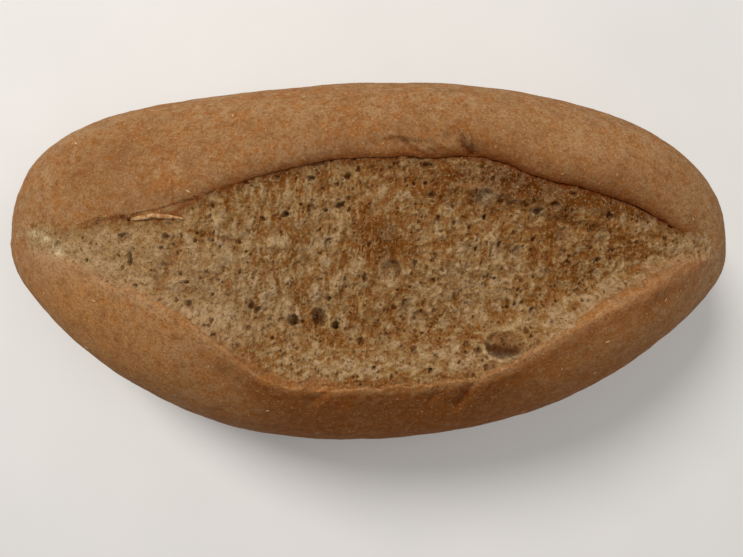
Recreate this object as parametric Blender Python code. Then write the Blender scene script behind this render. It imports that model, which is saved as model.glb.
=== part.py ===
"""A free-baked rye loaf that burst open along its top.

The loaf is one solid: a flat-bottomed dome whose crust was cut lengthwise before
baking. The back flap rolls down to a crease, the front flap ends in a low lip,
and between them lies the torn crumb, a shallow valley full of pores.

Units are metres, +Z is up. The origin is on the table under the loaf's middle,
+X runs along the loaf and +Y points to its back, the side with the rolled flap.
"""

import math

import bmesh
import bpy
import numpy as np
from mathutils import Euler, Matrix, Vector

# ---- the whole loaf ---------------------------------------------------------
LENGTH = 0.254
BACK_REACH = 0.062  # from the line between the two tips to the back edge
FRONT_REACH = 0.0635  # and to the front edge
TIP_LINE_Y = 0.0008
FULL_CROWN = 0.080  # height the dome would have, had it not burst
TIP_HEIGHT = 0.027  # height of the two rounded ends' tips
EQUATOR_HEIGHT = 0.026  # height of the widest line of the side
BASE_DIP = 0.002  # how far the round underside would reach below the table
SHOULDER = 2.35  # superellipse power of the side above the equator
UNDERSIDE = 3.0  # and below it
UNDER_BLUNTNESS = 12.0  # how late the underside rises to the tips
CROWN_POWERS = (2.5, 2.1)  # how blunt the loaf is seen from the front
BACK_FULLNESS = (0.06, 0.13, -0.20, 0.256)  # powers 1 to 4 of the place along
FRONT_FULLNESS = (-0.07, -0.12, 0.09, -0.38)

# ---- the burst --------------------------------------------------------------
# Both edges as (place along the loaf from -1 to 1, share of the half width).
EAR_LINE = (
    (-0.84, -0.08), (-0.73, -0.02), (-0.67, 0.04), (-0.62, 0.105), (-0.54, 0.135),
    (-0.45, 0.170), (-0.38, 0.270), (-0.29, 0.342), (-0.20, 0.392), (-0.09, 0.437),
    (0.06, 0.447), (0.16, 0.441), (0.235, 0.453), (0.31, 0.420), (0.38, 0.362),
    (0.52, 0.286), (0.60, 0.230), (0.67, 0.155), (0.74, 0.050), (0.86, -0.16),
)
LIP_LINE = (
    (-0.84, -0.16), (-0.74, -0.18), (-0.66, -0.235), (-0.60, -0.29), (-0.51, -0.30),
    (-0.44, -0.37), (-0.35, -0.455), (-0.29, -0.53), (-0.24, -0.60), (-0.18, -0.635),
    (0.00, -0.636), (0.20, -0.638), (0.27, -0.631), (0.32, -0.595), (0.38, -0.545),
    (0.48, -0.465), (0.60, -0.38), (0.70, -0.30), (0.78, -0.245), (0.86, -0.20),
)
LEAST_STRIP = 0.12  # half of the strip's least width, as a share of the half width
# Depths along the loaf, as (place along, metres).
ROLL_DROP = (
    (-0.86, 0.0), (-0.70, 0.0012), (-0.50, 0.0020), (-0.30, 0.0034), (0.00, 0.0045),
    (0.30, 0.0050), (0.50, 0.0052), (0.65, 0.0048), (0.75, 0.0034), (0.86, 0.0),
)
VALLEY_DROP = (
    (-0.86, 0.0), (-0.60, 0.0015), (-0.30, 0.0040), (0.00, 0.0050), (0.30, 0.0055),
    (0.60, 0.0050), (0.80, 0.0015), (0.86, 0.0),
)
ROLL_RADIUS = 0.009  # how wide the back flap's rolled edge is
VALLEY_PLACE = 0.27  # the valley's share of the way from lip to crease
CRUMB_BELLY = 0.0015  # how far the crumb bulges between valley and crease
LIP_STEP = 0.0008  # the crust's edge stands this far above the crumb
LIP_FADE = 0.0020  # and the step is gone this far behind the edge
SHELF_WIDTH = 0.009  # a shelf of crumb that stays under the back flap
SHELF_RISE = 0.0018
SHELF_SPAN = (0.12, 0.62)  # from where to where along the loaf

# Gentle swellings and dents: middle x, y, radius, height.
LUMPS = (
    (-0.068, 0.046, 0.026, -0.0012),
    (0.030, 0.052, 0.030, 0.0009),
    (0.092, 0.034, 0.020, 0.0008),
    (-0.080, -0.042, 0.024, -0.0010),
    (-0.035, -0.058, 0.022, 0.0006),
    (0.062, -0.044, 0.028, 0.0009),
    (-0.020, 0.036, 0.018, 0.0005),
    (0.052, 0.030, 0.012, -0.0007),
)

# Ridges (height above 0) and creases (below 0), each from one point to the next:
# x, y, x, y, half width, height.
RIDGES = (
    (0.0212, 0.0216, 0.0329, 0.0186, 0.0020, 0.0007),  # a step below the crease
    (0.0329, 0.0186, 0.0566, 0.0148, 0.0022, 0.0010),
    (0.0566, 0.0148, 0.0828, 0.0121, 0.0020, 0.0008),
    (0.0580, -0.0232, 0.0845, -0.0106, 0.0035, 0.0010),  # the lip's rounded end
    (0.0845, -0.0106, 0.1050, -0.0012, 0.0035, 0.0010),
    (0.0232, 0.0330, 0.0302, 0.0292, 0.0018, -0.0013),  # folds in the back flap
    (0.0010, 0.0318, 0.0150, 0.0308, 0.0018, -0.0007),
    (0.0303, -0.0378, 0.0261, -0.0448, 0.0018, -0.0012),  # and in the front one
    (0.0186, -0.0425, 0.0214, -0.0382, 0.0016, -0.0008),
    (-0.0126, -0.0402, -0.0158, -0.0432, 0.0016, -0.0007),
    (-0.0556, 0.0009, -0.0603, -0.0093, 0.0020, -0.0009),  # a crease in the crumb
)
# The torn crumb's crags, from broad to small: size, height, seed.
CRAGS = (
    (0.0130, 0.0009, 61),
    (0.0068, 0.0006, 62),
)

# ---- the pores --------------------------------------------------------------
# x, y, length, width, depth, turn in degrees.
PORES = (
    (0.0401, -0.0267, 0.0106, 0.0082, 0.0046, 12),
    (0.0069, -0.0046, 0.0064, 0.0061, 0.0013, 0),
    (-0.0098, -0.0213, 0.0026, 0.0024, 0.0030, 0),
    (-0.0146, -0.0189, 0.0061, 0.0046, 0.0030, 110),
    (-0.0224, -0.0198, 0.0037, 0.0036, 0.0028, 0),
    (-0.0025, -0.0258, 0.0025, 0.0019, 0.0013, 10),
    (0.0142, -0.0031, 0.0030, 0.0019, 0.0012, 90),
    (-0.0010, -0.0069, 0.0031, 0.0018, 0.0010, 85),
    (0.0501, 0.0126, 0.0028, 0.0020, 0.0020, 10),
    (0.0551, 0.0140, 0.0027, 0.0022, 0.0014, 0),
    (0.0608, 0.0176, 0.0025, 0.0018, 0.0014, -10),
    (0.0721, 0.0114, 0.0028, 0.0019, 0.0018, -20),
    (0.0687, -0.0061, 0.0037, 0.0028, 0.0012, 90),
    (0.0634, -0.0110, 0.0025, 0.0024, 0.0014, 0),
    (0.0498, -0.0171, 0.0029, 0.0026, 0.0016, 0),
    (0.0349, 0.0174, 0.0025, 0.0024, 0.0012, 0),
    (0.0186, 0.0170, 0.0025, 0.0018, 0.0012, 0),
    (0.0175, 0.0258, 0.0042, 0.0018, 0.0012, 0),
    (-0.0083, 0.0140, 0.0028, 0.0022, 0.0020, 20),
    (-0.0240, 0.0113, 0.0028, 0.0020, 0.0020, 10),
    (-0.0167, 0.0217, 0.0028, 0.0019, 0.0013, 10),
    (-0.0061, 0.0223, 0.0022, 0.0018, 0.0014, 90),
    (-0.0345, -0.0152, 0.0036, 0.0017, 0.0012, 80),
    (-0.0327, -0.0164, 0.0024, 0.0017, 0.0012, 30),
    (-0.0690, -0.0021, 0.0044, 0.0017, 0.0016, 85),
    (-0.0712, 0.0048, 0.0030, 0.0018, 0.0013, 20),
    (-0.0582, 0.0042, 0.0023, 0.0019, 0.0014, 0),
    (-0.0519, -0.0148, 0.0019, 0.0019, 0.0016, 0),
    (-0.0443, -0.0244, 0.0029, 0.0017, 0.0011, -25),
)
PORE_SIDES = (8, 5)  # segments and rings of a pore's hollow

# ---- how finely the solid is drawn ------------------------------------------
STATIONS = 84
UNDER_POINTS = 7
LAST_UNDER_TURN = math.radians(82)  # where the underside hangs clear of the table
FRONT_POINTS = 8
CRUMB_POINTS = 20
ROLL_POINTS = 5
BACK_POINTS = 9
LAST_STATION = 0.9975  # the last ring before each tip

CRUST_COLOUR = (0.305, 0.139, 0.054, 1.0)


def through(points, place):
    """A smooth curve through a few points, flat beyond its first and last."""
    xs, ys = (np.array(column, float) for column in zip(*points))
    slopes = np.gradient(ys, xs)
    place = np.clip(place, xs[0], xs[-1])
    i = np.clip(np.searchsorted(xs, place, side="right") - 1, 0, len(xs) - 2)
    gap = xs[i + 1] - xs[i]
    u = (place - xs[i]) / gap
    return (
        ys[i] * (1 + 2 * u) * (1 - u) ** 2
        + ys[i + 1] * u * u * (3 - 2 * u)
        + gap * u * (1 - u) * (slopes[i] * (1 - u) - slopes[i + 1] * u)
    )


def smoothstep(low, high, value):
    u = np.clip((value - low) / (high - low), 0.0, 1.0)
    return u * u * (3 - 2 * u)


def along(x):
    """Place along the loaf, -1 at the left tip and 1 at the right one."""
    return np.clip(x / (LENGTH / 2), -1.0, 1.0)


def plan_section(x):
    """Middle and half width of the loaf at x, seen from above."""
    t = along(x)
    round_end = np.sqrt(np.maximum(1 - t * t, 0.0))
    powers = np.array([t, t**2, t**3, t**4])
    back = TIP_LINE_Y + BACK_REACH * round_end * (1 + np.dot(BACK_FULLNESS, powers))
    front = TIP_LINE_Y - FRONT_REACH * round_end * (1 + np.dot(FRONT_FULLNESS, powers))
    return (back + front) / 2, (back - front) / 2


def equator_height(x):
    return TIP_HEIGHT + (EQUATOR_HEIGHT - TIP_HEIGHT) * (1 - along(x) ** 2)


def crown_height(x):
    """Height that the whole dome reaches at x."""
    bluntness, roundness = CROWN_POWERS
    rise = np.maximum(1 - np.abs(along(x)) ** bluntness, 0.0) ** (1 / roundness)
    return TIP_HEIGHT + (FULL_CROWN - TIP_HEIGHT) * rise


def swelling(x, y):
    """Height that the lumps add over a point of the plan."""
    return sum(
        rise * np.exp(-((x - lump_x) ** 2 + (y - lump_y) ** 2) / radius**2)
        for lump_x, lump_y, radius, rise in LUMPS
    )


def ridging(x, y):
    """Height that the ridges add and the creases take away."""
    total = 0.0
    for start_x, start_y, end_x, end_y, width, rise in RIDGES:
        run_x, run_y = end_x - start_x, end_y - start_y
        place = (x - start_x) * run_x + (y - start_y) * run_y
        place = np.clip(place / (run_x**2 + run_y**2), 0.0, 1.0)
        gap = np.hypot(x - start_x - run_x * place, y - start_y - run_y * place)
        total = total + rise * np.exp(-((gap / width) ** 2))
    return total


def noise(x, y, z, size, seed):
    """Smooth noise from about -1 to 1, with bumps about one size wide."""
    draw = np.random.default_rng(seed)
    slopes = draw.normal(size=(256, 3))
    slopes /= np.linalg.norm(slopes, axis=1)[:, None]
    order = draw.permutation(256)
    places = [np.asarray(axis, float) / size for axis in np.broadcast_arrays(x, y, z)]
    cells = [np.floor(place).astype(int) for place in places]
    offsets = [place - cell for place, cell in zip(places, cells)]
    fades = [u**3 * (u * (u * 6 - 15) + 10) for u in offsets]
    total = np.zeros(places[0].shape)
    for corner in range(8):
        steps = (corner & 1, corner >> 1 & 1, corner >> 2)
        slot = order[(cells[0] + steps[0]) % 256]
        slot = order[(slot + cells[1] + steps[1]) % 256]
        slot = order[(slot + cells[2] + steps[2]) % 256]
        weight = 1.0
        height = 0.0
        for axis in range(3):
            weight = weight * (fades[axis] if steps[axis] else 1 - fades[axis])
            height = height + slopes[slot, axis] * (offsets[axis] - steps[axis])
        total += weight * height
    return total * 1.6


def crag_height(x, y):
    """The torn crumb's own unevenness."""
    return sum(rise * noise(x, y, 0.0, size, seed) for size, rise, seed in CRAGS)


def dome_height(x, y):
    """Height of the unburst dome over a point of the plan."""
    middle, half = plan_section(x)
    share = np.clip(np.abs(y - middle) / half, 0.0, 1.0)
    low = equator_height(x)
    arch = (1 - share**SHOULDER) ** (1 / SHOULDER)
    return low + (crown_height(x) - low) * arch + swelling(x, y) * np.sqrt(arch)


def burst_edges(x):
    """The y of the lip and of the crease, and the strip's sides on the plan."""
    middle, half = plan_section(x)
    lip = through(LIP_LINE, along(x))
    ear = through(EAR_LINE, along(x))
    centre = (lip + ear) / 2
    reach = np.maximum((ear - lip) / 2, LEAST_STRIP)
    return middle + half * (centre - reach), middle + half * (centre + reach)


def roll_height(x, y):
    """Height of the back flap, which rolls down to the crease."""
    half = plan_section(x)[1]
    radius = np.minimum(ROLL_RADIUS, half * 0.4)
    inward = np.clip((y - burst_edges(x)[1]) / radius, 0.0, 1.0)
    falloff = (1 - inward) ** 2.2
    return dome_height(x, y) - through(ROLL_DROP, along(x)) * falloff


def crumb_height(x, share):
    """Height of the torn crumb, where share runs from 0 at the lip to 1."""
    lip, ear = burst_edges(x)
    y = lip + (ear - lip) * share
    at_lip, at_crease = dome_height(x, lip), roll_height(x, ear)
    chord = at_lip + (at_crease - at_lip) * share
    up_front = smoothstep(0.0, VALLEY_PLACE, share)
    up_back = np.clip((share - VALLEY_PLACE) / (1 - VALLEY_PLACE), 0.0, 1.0)
    sag = through(VALLEY_DROP, along(x)) * up_front * (1 - up_back**1.3)
    belly = CRUMB_BELLY * np.sin(math.pi * up_back)
    opened = smoothstep(0.0, 0.004, through(ROLL_DROP, along(x)))
    step = LIP_STEP * smoothstep(0.0, LIP_FADE, y - lip)
    shelf_start, shelf_end = SHELF_SPAN
    shelf = (
        SHELF_RISE
        * smoothstep(shelf_start, shelf_start + 0.1, along(x))
        * (1 - smoothstep(shelf_end - 0.1, shelf_end, along(x)))
        * smoothstep(-SHELF_WIDTH - 0.003, -SHELF_WIDTH, y - ear)
        * (1 - smoothstep(-0.003, 0.0, y - ear))
    )
    crags = crag_height(x, y) * np.sin(math.pi * share)
    closed = dome_height(x, y)
    return closed + (chord - sag + belly - step + shelf + crags - closed) * opened


def under_side(x, side):
    """Ring points from the equator down to where the table stops the curve."""
    middle, half = plan_section(x)
    equator = equator_height(x)
    reach = (equator + BASE_DIP) * math.sqrt(1 - abs(along(x)) ** UNDER_BLUNTNESS)
    stopped = min(equator / reach, 1.0) ** (UNDERSIDE / 2)
    last_turn = min(math.asin(stopped), LAST_UNDER_TURN)
    points = []
    for i in range(UNDER_POINTS):
        turn = last_turn * (i + 1) / UNDER_POINTS
        across = math.cos(turn) ** (2 / UNDERSIDE)
        depth = reach * math.sin(turn) ** (2 / UNDERSIDE)
        points.append((middle + side * half * across, max(equator - depth, 0.0)))
    return points


def section(x):
    """One closed ring of the loaf, from the base's middle round by the front."""
    middle, half = plan_section(x)
    lip, ear = burst_edges(x)
    radius = min(ROLL_RADIUS, half * 0.4)
    front_under = under_side(x, -1)
    back_under = under_side(x, 1)
    ring = [(middle, min(front_under[-1][1], back_under[-1][1]))]
    ring += reversed(front_under)
    lip_turn = math.acos(min((middle - lip) / half, 1.0) ** (SHOULDER / 2))
    for i in range(FRONT_POINTS):
        y = middle - half * math.cos(lip_turn * i / FRONT_POINTS) ** (2 / SHOULDER)
        ring.append((y, dome_height(x, y) + ridging(x, y)))
    for i in range(CRUMB_POINTS):
        share = i / CRUMB_POINTS
        y = lip + (ear - lip) * share
        ring.append((y, crumb_height(x, share) + ridging(x, y)))
    for i in range(ROLL_POINTS):
        y = ear + radius * (1 - math.cos(math.pi / 2 * i / ROLL_POINTS))
        ring.append((y, roll_height(x, y) + ridging(x, y)))
    crest_share = min((ear + radius - middle) / half, 1.0)
    crest_turn = math.acos(max(crest_share, 0.0) ** (SHOULDER / 2))
    for i in range(BACK_POINTS + 1):
        turn = crest_turn * (1 - i / BACK_POINTS)
        y = middle + half * math.cos(turn) ** (2 / SHOULDER)
        ring.append((y, roll_height(x, y) + ridging(x, y)))
    ring += back_under
    return [Vector((x, y, z)) for y, z in ring]


def loaf_mesh():
    """The loaf as rings along its length, closed by a point at each tip."""
    bm = bmesh.new()
    rings = []
    for i in range(STATIONS):
        angle = math.pi / 2 * (2 * i / (STATIONS - 1) - 1)
        x = LENGTH / 2 * LAST_STATION * math.sin(angle)
        rings.append([bm.verts.new(point) for point in section(x)])
    for near, far in zip(rings, rings[1:]):
        for i in range(len(near)):
            j = (i + 1) % len(near)
            bm.faces.new((near[i], far[i], far[j], near[j]))
    for ring, side in ((rings[0], -1), (rings[-1], 1)):
        x = side * LENGTH / 2
        tip = bm.verts.new((x, float(plan_section(x)[0]), TIP_HEIGHT))
        for i in range(len(ring)):
            bm.faces.new((ring[i], ring[(i + 1) % len(ring)], tip))
    bmesh.ops.recalc_face_normals(bm, faces=bm.faces)
    mesh = bpy.data.meshes.new("loaf")
    bm.to_mesh(mesh)
    bm.free()
    return mesh


def crumb_point(x, y):
    """The point of the crumb over x and y."""
    lip, ear = burst_edges(x)
    return Vector((x, y, crumb_height(x, (y - lip) / (ear - lip)) + ridging(x, y)))


def pore_cutter():
    """Every pore's hollow, an egg sunk in the crumb, as one cutter."""
    bm = bmesh.new()
    segments, rings = PORE_SIDES
    for x, y, length, width, depth, turn in PORES:
        place = Matrix.Translation(crumb_point(x, y) + Vector((0, 0, 0.15 * depth)))
        spin = Euler((0, 0, math.radians(turn))).to_matrix().to_4x4()
        size = Matrix.Diagonal((length / 2, width / 2, depth * 1.1, 1.0))
        bmesh.ops.create_uvsphere(
            bm,
            u_segments=segments,
            v_segments=rings,
            radius=1.0,
            matrix=place @ spin @ size,
        )
    bmesh.ops.recalc_face_normals(bm, faces=bm.faces)
    mesh = bpy.data.meshes.new("pores")
    bm.to_mesh(mesh)
    bm.free()
    cutter = bpy.data.objects.new("pores", mesh)
    bpy.context.scene.collection.objects.link(cutter)
    cutter.hide_render = True
    cutter.display_type = "WIRE"
    return cutter


def crust_material():
    material = bpy.data.materials.new("baked_rye_crust")
    material.use_nodes = True
    shader = material.node_tree.nodes["Principled BSDF"]
    shader.inputs["Base Color"].default_value = CRUST_COLOUR
    shader.inputs["Roughness"].default_value = 0.7
    shader.inputs["Metallic"].default_value = 0.0
    return material


def main():
    for leftover in list(bpy.data.objects):
        bpy.data.objects.remove(leftover)
    loaf = bpy.data.objects.new("loaf", loaf_mesh())
    bpy.context.scene.collection.objects.link(loaf)
    loaf.data.materials.append(crust_material())
    loaf.data.shade_smooth()
    cut = loaf.modifiers.new("pores", "BOOLEAN")
    cut.operation = "DIFFERENCE"
    cut.object = pore_cutter()


main()
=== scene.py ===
"""A rye loaf on a pale studio floor, seen from almost straight above.

The loaf is dressed in pieces: a crust with its rolled back flap and front lip, the
torn and toasted crumb between them, the bran baked into the crust and the threads of
gluten that bridge the pores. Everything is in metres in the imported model's frame.
"""

import math
from types import SimpleNamespace

import bmesh
import bpy
import numpy as np
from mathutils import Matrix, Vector


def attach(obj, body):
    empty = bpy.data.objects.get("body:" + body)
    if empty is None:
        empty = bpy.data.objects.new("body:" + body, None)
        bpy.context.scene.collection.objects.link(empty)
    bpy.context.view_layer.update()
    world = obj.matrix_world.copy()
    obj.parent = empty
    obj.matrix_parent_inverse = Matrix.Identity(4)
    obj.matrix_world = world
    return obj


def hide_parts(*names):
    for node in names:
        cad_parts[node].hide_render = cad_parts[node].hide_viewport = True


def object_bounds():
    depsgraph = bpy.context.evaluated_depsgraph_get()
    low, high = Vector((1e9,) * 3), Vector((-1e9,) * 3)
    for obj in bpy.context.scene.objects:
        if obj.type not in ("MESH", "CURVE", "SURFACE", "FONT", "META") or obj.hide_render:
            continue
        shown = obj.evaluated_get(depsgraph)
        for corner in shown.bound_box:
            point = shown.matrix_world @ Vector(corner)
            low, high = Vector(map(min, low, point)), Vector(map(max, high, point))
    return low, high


bl_info = {
    "name": "Burst Rye Loaf",
    "version": (1, 0, 0),
    "blender": (4, 5, 0),
    "location": "3D View > Sidebar > Rye Loaf",
    "description": "Builds the crust, crumb, bran and threads of a burst rye loaf",
    "category": "Add Mesh",
}

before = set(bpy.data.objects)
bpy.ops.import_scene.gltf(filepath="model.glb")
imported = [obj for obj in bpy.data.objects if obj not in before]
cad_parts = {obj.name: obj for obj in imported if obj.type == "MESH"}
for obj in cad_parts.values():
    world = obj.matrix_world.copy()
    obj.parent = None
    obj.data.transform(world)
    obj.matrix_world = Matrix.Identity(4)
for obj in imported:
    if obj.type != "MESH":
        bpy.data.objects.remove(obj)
CAD_BOX = [list(corner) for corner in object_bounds()]
LENGTH = CAD_BOX[1][0] - CAD_BOX[0][0]
MILLIMETRE = 0.001

# ---- the loaf's form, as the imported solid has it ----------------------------
BACK_REACH = 0.062  # from the line between the tips to the back, at the middle
FRONT_REACH = 0.0635
TIP_LINE_Y = 0.0008
FULL_CROWN = 0.080  # height that the dome would have if it hadn't burst
TIP_HEIGHT = 0.027
EQUATOR_HEIGHT = 0.026  # where the sides reach furthest out, at the middle
BASE_DIP = 0.002  # how far the rounded underside would go below the flat base
SHOULDER = 2.35  # powers of the rounded sections above and below the equator
UNDERSIDE = 3.0
UNDER_BLUNTNESS = 12.0
LAST_UNDER_TURN = math.radians(82)
CROWN_POWERS = (2.5, 2.1)
# How much fuller than an ellipse the plan is, in powers of the place along the loaf.
BACK_FULLNESS = (0.06, 0.13, -0.20, 0.256)
FRONT_FULLNESS = (-0.07, -0.12, 0.09, -0.38)
# The crease and the lip: place along the loaf, and place across it from -1 to 1.
EAR_LINE = (
    (-0.84, -0.08), (-0.73, -0.02), (-0.67, 0.04), (-0.62, 0.105), (-0.54, 0.135),
    (-0.45, 0.170), (-0.38, 0.270), (-0.29, 0.342), (-0.20, 0.392), (-0.09, 0.437),
    (0.06, 0.447), (0.16, 0.441), (0.235, 0.453), (0.31, 0.420), (0.38, 0.362),
    (0.52, 0.286), (0.60, 0.230), (0.67, 0.155), (0.74, 0.050), (0.86, -0.16),
)
LIP_LINE = (
    (-0.84, -0.16), (-0.74, -0.18), (-0.66, -0.235), (-0.60, -0.29), (-0.51, -0.30),
    (-0.44, -0.37), (-0.35, -0.455), (-0.29, -0.53), (-0.24, -0.60), (-0.18, -0.635),
    (0.00, -0.636), (0.20, -0.638), (0.27, -0.631), (0.32, -0.595), (0.38, -0.545),
    (0.48, -0.465), (0.60, -0.38), (0.70, -0.30), (0.78, -0.245), (0.86, -0.20),
)
LEAST_STRIP = 0.12  # half of the strip's least width, as a share of the half width
# Drop of the rolled flap at the crease, and of the crumb's valley, along the loaf.
ROLL_DROP = (
    (-0.86, 0.0), (-0.70, 0.0012), (-0.50, 0.0020), (-0.30, 0.0034), (0.00, 0.0045),
    (0.30, 0.0050), (0.50, 0.0052), (0.65, 0.0048), (0.75, 0.0034), (0.86, 0.0),
)
VALLEY_DROP = (
    (-0.86, 0.0), (-0.60, 0.0015), (-0.30, 0.0040), (0.00, 0.0050), (0.30, 0.0055),
    (0.60, 0.0050), (0.80, 0.0015), (0.86, 0.0),
)
ROLL_RADIUS = 0.009
VALLEY_PLACE = 0.27  # share of the way from lip to crease
CRUMB_BELLY = 0.0015
LIP_STEP = 0.0008  # height from the lip down to the crumb, and how soon it is reached
LIP_FADE = 0.0020
SHELF_WIDTH = 0.009  # the shelf of crumb below the crease
SHELF_RISE = 0.0018
SHELF_SPAN = (0.12, 0.62)
# Lumps of the dome: x, y, radius, rise.
LUMPS = (
    (-0.068, 0.046, 0.026, -0.0012),
    (0.030, 0.052, 0.030, 0.0009),
    (0.092, 0.034, 0.020, 0.0008),
    (-0.080, -0.042, 0.024, -0.0010),
    (-0.035, -0.058, 0.022, 0.0006),
    (0.062, -0.044, 0.028, 0.0009),
    (-0.020, 0.036, 0.018, 0.0005),
    (0.052, 0.030, 0.012, -0.0007),
)
# Ridges and creases: x and y of both ends, width, rise.
RIDGES = (
    (0.0212, 0.0216, 0.0329, 0.0186, 0.0020, 0.0007),  # a step below the crease
    (0.0329, 0.0186, 0.0566, 0.0148, 0.0022, 0.0010),
    (0.0566, 0.0148, 0.0828, 0.0121, 0.0020, 0.0008),
    (0.0580, -0.0232, 0.0845, -0.0106, 0.0035, 0.0010),  # the lip's rounded end
    (0.0845, -0.0106, 0.1050, -0.0012, 0.0035, 0.0010),
    (0.0232, 0.0330, 0.0302, 0.0292, 0.0018, -0.0013),  # folds in the back flap
    (0.0010, 0.0318, 0.0150, 0.0308, 0.0018, -0.0007),
    (0.0303, -0.0378, 0.0261, -0.0448, 0.0018, -0.0012),  # and in the front one
    (0.0186, -0.0425, 0.0214, -0.0382, 0.0016, -0.0008),
    (-0.0126, -0.0402, -0.0158, -0.0432, 0.0016, -0.0007),
    (-0.0556, 0.0009, -0.0603, -0.0093, 0.0020, -0.0009),  # a crease in the crumb
)
# Crags of the torn crumb: size, height, seed.
CRAGS = (
    (0.0130, 0.0009, 61),
    (0.0068, 0.0006, 62),
)
# Pores: x, y, length, width, depth, turn in degrees.
PORES = (
    (0.0401, -0.0267, 0.0106, 0.0082, 0.0046, 12),
    (0.0069, -0.0046, 0.0064, 0.0061, 0.0013, 0),
    (-0.0098, -0.0213, 0.0026, 0.0024, 0.0030, 0),
    (-0.0146, -0.0189, 0.0061, 0.0046, 0.0030, 110),
    (-0.0224, -0.0198, 0.0037, 0.0036, 0.0028, 0),
    (-0.0025, -0.0258, 0.0025, 0.0019, 0.0013, 10),
    (0.0142, -0.0031, 0.0030, 0.0019, 0.0012, 90),
    (-0.0010, -0.0069, 0.0031, 0.0018, 0.0010, 85),
    (0.0501, 0.0126, 0.0028, 0.0020, 0.0020, 10),
    (0.0551, 0.0140, 0.0027, 0.0022, 0.0014, 0),
    (0.0608, 0.0176, 0.0025, 0.0018, 0.0014, -10),
    (0.0721, 0.0114, 0.0028, 0.0019, 0.0018, -20),
    (0.0687, -0.0061, 0.0037, 0.0028, 0.0012, 90),
    (0.0634, -0.0110, 0.0025, 0.0024, 0.0014, 0),
    (0.0498, -0.0171, 0.0029, 0.0026, 0.0016, 0),
    (0.0349, 0.0174, 0.0025, 0.0024, 0.0012, 0),
    (0.0186, 0.0170, 0.0025, 0.0018, 0.0012, 0),
    (0.0175, 0.0258, 0.0042, 0.0018, 0.0012, 0),
    (-0.0083, 0.0140, 0.0028, 0.0022, 0.0020, 20),
    (-0.0240, 0.0113, 0.0028, 0.0020, 0.0020, 10),
    (-0.0167, 0.0217, 0.0028, 0.0019, 0.0013, 10),
    (-0.0061, 0.0223, 0.0022, 0.0018, 0.0014, 90),
    (-0.0345, -0.0152, 0.0036, 0.0017, 0.0012, 80),
    (-0.0327, -0.0164, 0.0024, 0.0017, 0.0012, 30),
    (-0.0690, -0.0021, 0.0044, 0.0017, 0.0016, 85),
    (-0.0712, 0.0048, 0.0030, 0.0018, 0.0013, 20),
    (-0.0582, 0.0042, 0.0023, 0.0019, 0.0014, 0),
    (-0.0519, -0.0148, 0.0019, 0.0019, 0.0016, 0),
    (-0.0443, -0.0244, 0.0029, 0.0017, 0.0011, -25),
)

# ---- curves, steps and noise ---------------------------------------------------


def through(points, place):
    """A smooth curve through a few points, flat beyond its first and last."""
    xs, ys = (np.array(column, float) for column in zip(*points))
    slopes = np.gradient(ys, xs)
    place = np.clip(place, xs[0], xs[-1])
    i = np.clip(np.searchsorted(xs, place, side="right") - 1, 0, len(xs) - 2)
    gap = xs[i + 1] - xs[i]
    u = (place - xs[i]) / gap
    return (
        ys[i] * (1 + 2 * u) * (1 - u) ** 2
        + ys[i + 1] * u * u * (3 - 2 * u)
        + gap * u * (1 - u) * (slopes[i] * (1 - u) - slopes[i + 1] * u)
    )


def between(points, place):
    """A broken line through a few points, flat beyond its first and last."""
    xs, ys = zip(*points)
    return np.interp(place, xs, ys)


def smoothstep(low, high, value):
    """0 up to low, 1 from high and smoothly between them; low may be above high."""
    u = np.clip((value - low) / (high - low), 0.0, 1.0)
    return u * u * (3 - 2 * u)


def ramp(first, last, start, end, value):
    """first up to start, last from end and smoothly between them."""
    return first + (last - first) * smoothstep(start, end, value)


def span(start, full, fade, end, value):
    """1 from full to fade, and 0 before start and beyond end."""
    return smoothstep(start, full, value) * (1 - smoothstep(fade, end, value))


def bell(distance, width):
    """1 at no distance, about a third at one width and nearly 0 at two."""
    return np.exp(-((distance / width) ** 2))


def noise(x, y, z, size, seed):
    """Smooth noise from about -1 to 1, with bumps about one size wide."""
    draw = np.random.default_rng(seed)
    slopes = draw.normal(size=(256, 3))
    slopes /= np.linalg.norm(slopes, axis=1)[:, None]
    order = draw.permutation(256)
    places = [np.asarray(axis, float) / size for axis in np.broadcast_arrays(x, y, z)]
    cells = [np.floor(place).astype(int) for place in places]
    offsets = [place - cell for place, cell in zip(places, cells)]
    fades = [u**3 * (u * (u * 6 - 15) + 10) for u in offsets]
    total = np.zeros(places[0].shape)
    for corner in range(8):
        steps = (corner & 1, corner >> 1 & 1, corner >> 2)
        slot = order[(cells[0] + steps[0]) % 256]
        slot = order[(slot + cells[1] + steps[1]) % 256]
        slot = order[(slot + cells[2] + steps[2]) % 256]
        weight = 1.0
        height = 0.0
        for axis in range(3):
            weight = weight * (fades[axis] if steps[axis] else 1 - fades[axis])
            height = height + slopes[slot, axis] * (offsets[axis] - steps[axis])
        total += weight * height
    return total * 1.6


def waves(x, y, z, table):
    """Smooth bumps added up: size, height and seed of each."""
    return sum(height * noise(x, y, z, size, seed) for size, height, seed in table)


def patches(x, y, table):
    """Soft oval patches added up: x, y, radii and amount of each."""
    return sum(
        amount * np.exp(-(((x - at_x) / wide) ** 2) - ((y - at_y) / deep) ** 2)
        for at_x, at_y, wide, deep, amount in table
    )


# ---- the loaf's form --------------------------------------------------------------


def along(x):
    """Place along the loaf, -1 at the left tip and 1 at the right one."""
    return np.clip(x / (LENGTH / 2), -1.0, 1.0)


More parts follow.
